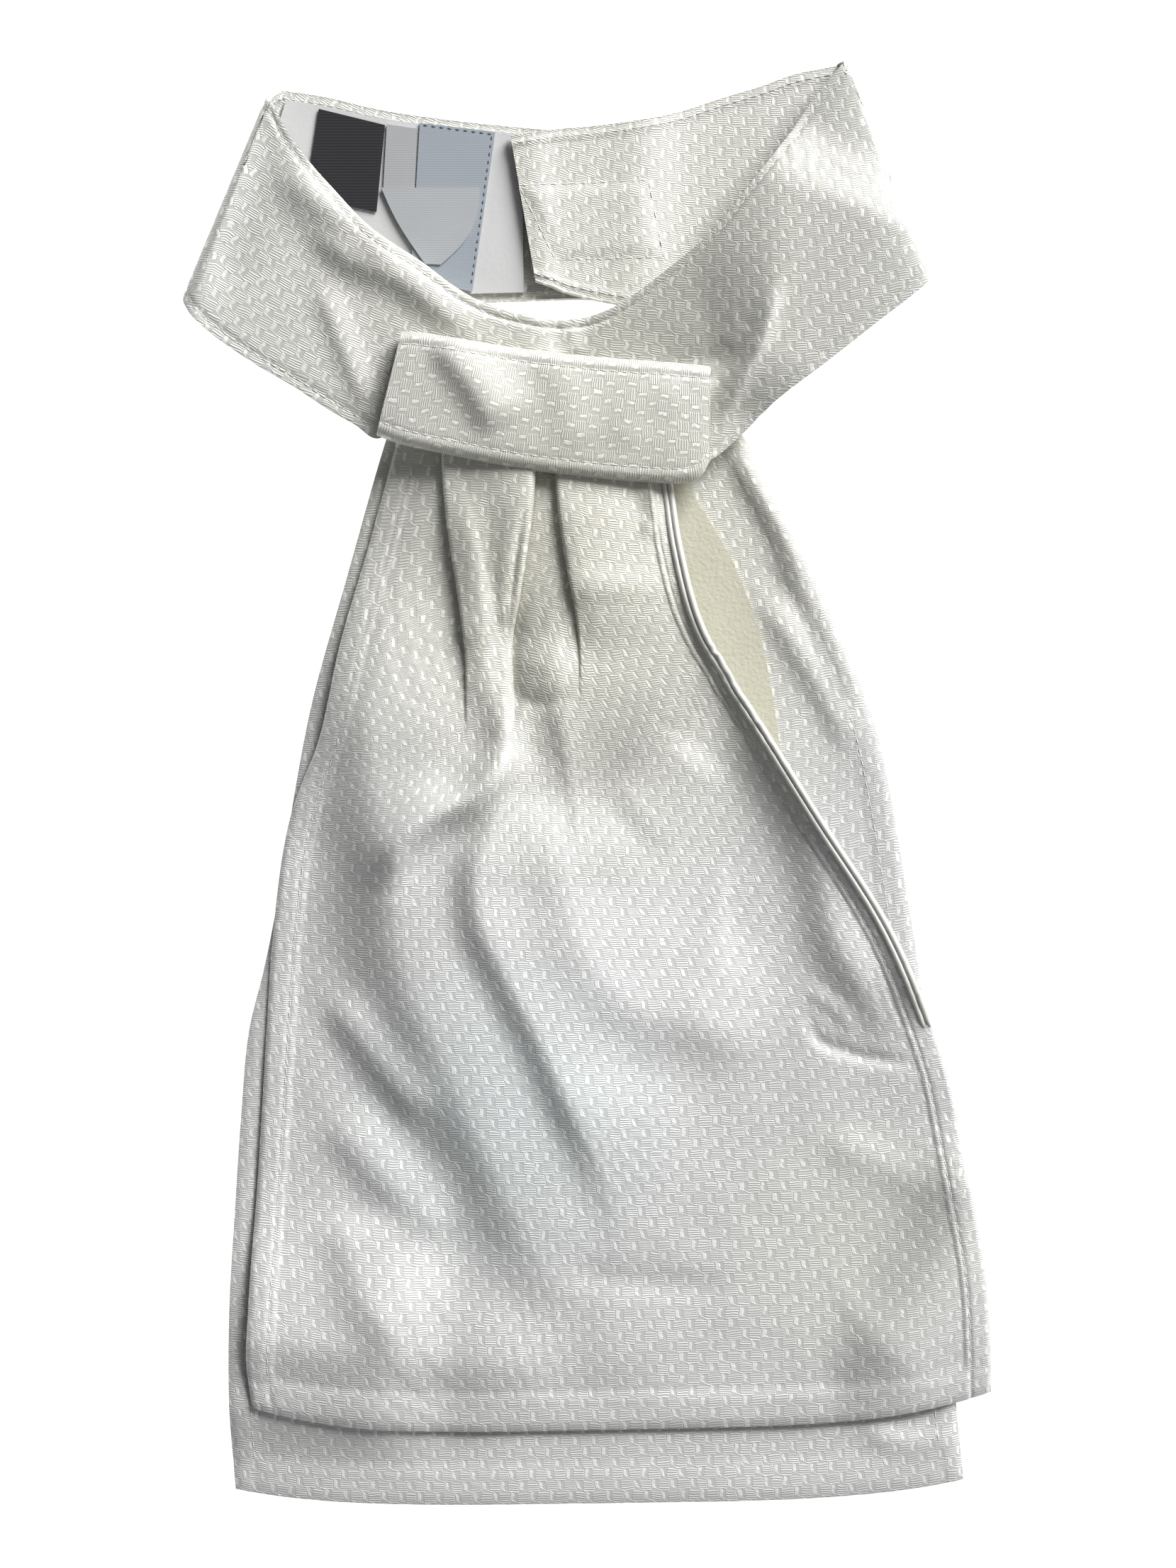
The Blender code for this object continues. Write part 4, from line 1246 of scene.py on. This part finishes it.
def satin_figure():
    """The jacquard's figure: bricks of smooth satin, each bordered by short bright threads."""
    if "satin figure" in bpy.data.node_groups:
        return bpy.data.node_groups["satin figure"]
    group = new_group(
        "satin figure",
        [("Weave", "NodeSocketVector"), ("Cell", "NodeSocketFloat"), ("Row", "NodeSocketFloat")],
        [("Tone", "NodeSocketFloat"), ("Height", "NodeSocketFloat"), ("Satin", "NodeSocketFloat")],
    )
    graph = Graph(group)
    given = graph.node("NodeGroupInput")
    wobble = graph.noise(given.outputs["Weave"], 210.0)
    wobble = graph.math("MULTIPLY_ADD", wobble, FIGURE_WOBBLE, -FIGURE_WOBBLE / 2)
    part = graph.node("ShaderNodeSeparateXYZ", {"Vector": given.outputs["Weave"]})
    cells = graph.math("ADD", graph.math("DIVIDE", part.outputs[0], given.outputs["Cell"]), wobble)
    rows = graph.math("ADD", graph.math("DIVIDE", part.outputs[1], given.outputs["Row"]), wobble)
    row = graph.math("FLOOR", rows)
    up = graph.math("SUBTRACT", rows, row)
    shift = graph.math("MULTIPLY", graph.math("FLOORED_MODULO", row, 2.0), 0.5)
    shifted = graph.math("ADD", cells, shift)
    cell = graph.math("FLOOR", shifted)
    along = graph.math("SUBTRACT", shifted, cell)
    pick = graph.math("FLOOR", graph.math("MULTIPLY", up, FIGURE_PICKS))
    thread_number = graph.node("ShaderNodeCombineXYZ", {"X": cell, "Y": row, "Z": pick}).outputs[0]
    chance = graph.node("ShaderNodeTexWhiteNoise", {"Vector": thread_number}, noise_dimensions="3D")
    chance = chance.outputs[0]
    slant = graph.math("DIVIDE", graph.math("SUBTRACT", FIGURE_SLANT, up), FIGURE_SLANT)
    slant = graph.node("ShaderNodeClamp", {"Value": slant}).outputs[0]
    centre = graph.math("MULTIPLY_ADD", slant, 0.5, 0.26)
    centre = graph.math("MULTIPLY_ADD", chance, 0.06, centre)
    beside = graph.math("FRACT", graph.math("ADD", graph.math("SUBTRACT", along, centre), 1.0))
    beside = graph.math("ABSOLUTE", graph.math("SUBTRACT", beside, 0.5))
    slanted = graph.math("MINIMUM", graph.math("MULTIPLY", slant, 6.0), 1.0)
    width = graph.math("MULTIPLY_ADD", slanted, -0.055, 0.085)
    edge = graph.math("DIVIDE", beside, width)
    bars = graph.ramp(edge, 0.75, 1.35, 1.0, 0.0)
    bars = graph.math("MULTIPLY", bars, graph.math("MULTIPLY_ADD", chance, 0.5, 0.5))
    block = graph.math("FRACT", graph.math("ADD", along, 0.03))
    block = graph.math("ABSOLUTE", graph.math("SUBTRACT", block, 0.40))
    block = graph.ramp(block, 0.27, 0.32, 1.0, 0.0)
    turns = graph.math("MULTIPLY_ADD", up, FIGURE_THREADS * 2.0 * math.pi, -math.pi / 2)
    threads = graph.math("SINE", turns)
    threads = graph.math("MULTIPLY_ADD", threads, 0.5, 0.5)
    threads = graph.math("MULTIPLY", threads, graph.math("MULTIPLY_ADD", chance, 0.5, 0.5))
    lines = graph.math("MULTIPLY", block, threads)
    height = graph.math("MULTIPLY_ADD", bars, 0.8, lines)
    tone = graph.math("MULTIPLY_ADD", lines, 0.62, graph.math("MULTIPLY_ADD", block, -0.16, 0.40))
    tone = graph.math("MAXIMUM", tone, graph.math("MULTIPLY_ADD", bars, 0.68, 0.40))
    satin = graph.math("MAXIMUM", graph.math("MULTIPLY", lines, 0.7), graph.math("MULTIPLY", bars, 0.8))
    out = graph.node("NodeGroupOutput")
    graph.put(out.inputs["Tone"], tone)
    graph.put(out.inputs["Height"], height)
    graph.put(out.inputs["Satin"], satin)
    return group


def jacquard():
    """Ivory satin jacquard: the figure's relief and tones, with soft tints over larger patches."""
    def build(graph):
        figure = graph.node("ShaderNodeGroup")
        figure.node_tree = satin_figure()
        graph.put(figure.inputs["Weave"], graph.weave_map())
        graph.put(figure.inputs["Cell"], FIGURE_CELL)
        graph.put(figure.inputs["Row"], FIGURE_ROW)
        place = graph.place()
        warm = graph.math("MULTIPLY", graph.near(place, (0.000, 0.040, 0.0), 0.085), 0.55)
        warm = graph.math("MULTIPLY_ADD", graph.near(place, (0.000, 0.130, 0.0), 0.170), 0.60, warm)
        warm = graph.math("MULTIPLY_ADD", graph.near(place, (0.070, -0.120, 0.0), 0.050), 0.30, warm)
        cool = graph.near(place, (-0.020, -0.085, 0.0), 0.060)
        light = graph.blend(warm, (0.77, 0.775, 0.77), (0.78, 0.77, 0.69))
        light = graph.blend(graph.math("MULTIPLY", cool, 0.6), light, (0.71, 0.76, 0.77))
        shade = graph.blend(warm, (0.30, 0.305, 0.305), (0.31, 0.305, 0.25))
        shade = graph.blend(cool, shade, (0.27, 0.305, 0.31))
        colour = graph.blend(figure.outputs["Tone"], shade, light)
        satin = figure.outputs["Satin"]
        metallic = graph.ramp(satin, 0.0, 1.0, 0.26, 0.62)
        roughness = graph.ramp(satin, 0.0, 1.0, 0.58, 0.66)
        graph.set(Base_Color=colour, Metallic=metallic, Roughness=roughness)
        graph.bump(figure.outputs["Height"], 0.00009, 0.9)
    return material_named("ivory jacquard", build)


def brushed_lining():
    """Brushed lining with a short nap, matte; its dark cream is partly its own colour and partly painted
    shade and warm bounce light from the cloths around it.
    """
    def build(graph):
        nap = graph.noise(graph.weave_map(), 900.0, 4.0)
        soft = graph.noise(graph.place(), 160.0, 4.0)
        # Both cream tones hold painted shade and warm bounce light as well as the lining's own colour.
        colour = graph.blend(soft, (0.45, 0.44, 0.35), (0.53, 0.52, 0.43))
        graph.set(Base_Color=colour, Roughness=0.85)
        graph.bump(nap, 0.00025, 0.7)
    return material_named("brushed lining in painted warm shade", build)


def smooth_lining():
    """Smooth white wicking lining with a faint mesh."""
    def build(graph):
        weave = graph.weave_map()
        cells = graph.node("ShaderNodeTexVoronoi", {"Vector": weave, "Scale": 900.0}).outputs[0]
        soft = graph.noise(graph.place(), 35.0)
        colour = graph.blend(soft, (0.47, 0.475, 0.48), (0.54, 0.545, 0.55))
        graph.set(Base_Color=colour, Roughness=0.62)
        graph.bump(cells, 0.00005, 0.4)
    return material_named("smooth white lining", build)


def satin_ribbon(name, tint):
    """Satin ribbon of a printed label, left bare."""
    def build(graph):
        ribs = graph.ribs(graph.weave_map(), 520.0)
        soft = graph.noise(graph.place(), 90.0)
        pale = tuple(min(1.0, value * 1.12) for value in tint)
        graph.set(Base_Color=graph.blend(soft, tint, pale), Roughness=0.32, Metallic=0.25)
        graph.bump(ribs, 0.00003, 0.4)
    return material_named(name, build)


def woven_black():
    """Black taffeta of a woven label, left bare."""
    def build(graph):
        ribs = graph.ribs(graph.weave_map(), 420.0)
        colour = graph.blend(ribs, (0.004, 0.004, 0.006), (0.012, 0.012, 0.016))
        graph.set(Base_Color=colour, Roughness=0.8)
        graph.bump(ribs, 0.00005, 0.6)
    return material_named("black taffeta", build)


def yarn(name):
    """Sewing thread or piping of the name's yarn, with two tones in fine uneven patches."""
    dark, pale, fineness, roughness, metallic, depth, strength = YARNS[name]

    def build(graph):
        soft = graph.noise(graph.place(), fineness)
        graph.set(Base_Color=graph.blend(soft, dark, pale), Roughness=roughness, Metallic=metallic)
        graph.bump(soft, depth, strength)
    return material_named(name, build)


def floor():
    """Plain pale floor under the cloth."""
    bpy.ops.object.select_all(action="DESELECT")
    bpy.ops.mesh.primitive_plane_add(size=FLOOR_SIZE, location=(0.0, 0.0, FLOOR_Z))
    ground = bpy.context.object
    ground.name = "floor"

    def build(graph):
        soft = graph.noise(graph.place(), 6.0)
        colour = graph.blend(soft, (0.93, 0.93, 0.93), (0.95, 0.95, 0.95))
        graph.set(Base_Color=colour, Roughness=0.9)
        graph.set(Emission_Color=(1.0, 1.0, 1.0, 1.0), Emission_Strength=FLOOR_GLOW)
    ground.data.materials.append(material_named("pale floor", build))


def area_light(name, place, target, size, power, colour):
    data = bpy.data.lights.new(name, "AREA")
    data.shape = "RECTANGLE"
    data.size, data.size_y = size
    data.energy = power
    data.color = colour
    light = bpy.data.objects.new(name, data)
    bpy.context.scene.collection.objects.link(light)
    light.location = place
    light.rotation_euler = (Vector(target) - Vector(place)).to_track_quat("-Z", "Y").to_euler()


def studio():
    """Soft light from above, with the key at the upper right."""
    world = bpy.data.worlds.new("studio")
    bpy.context.scene.world = world
    world.use_nodes = True
    sky = world.node_tree.nodes["Background"]
    sky.inputs["Color"].default_value = (1.0, 1.0, 1.0, 1.0)
    sky.inputs["Strength"].default_value = WORLD_STRENGTH
    for name, settings in LIGHTS.items():
        area_light(name, *settings)


def camera():
    """Straight above, framed as the photograph."""
    half_height = VIEW_PIXELS[1] * PIXEL_MM * MM / 2
    distance = half_height / (CAMERA_SENSOR / 2 / CAMERA_LENS)
    x = (VIEW_PIXELS[0] / 2 - ORIGIN_PIXEL[0]) * PIXEL_MM * MM
    y = (ORIGIN_PIXEL[1] - VIEW_PIXELS[1] / 2) * PIXEL_MM * MM
    data = bpy.data.cameras.new("camera")
    data.lens = CAMERA_LENS
    data.sensor_width = CAMERA_SENSOR
    eye = bpy.data.objects.new("camera", data)
    bpy.context.scene.collection.objects.link(eye)
    eye.location = (x, y, distance)
    bpy.context.scene.camera = eye


back_tail()
tail_lining()
front_tail()
neck_band()
band_lining()
knot_bar()
labels()
floor()
studio()
camera()
bpy.context.scene.view_settings.view_transform = "Standard"
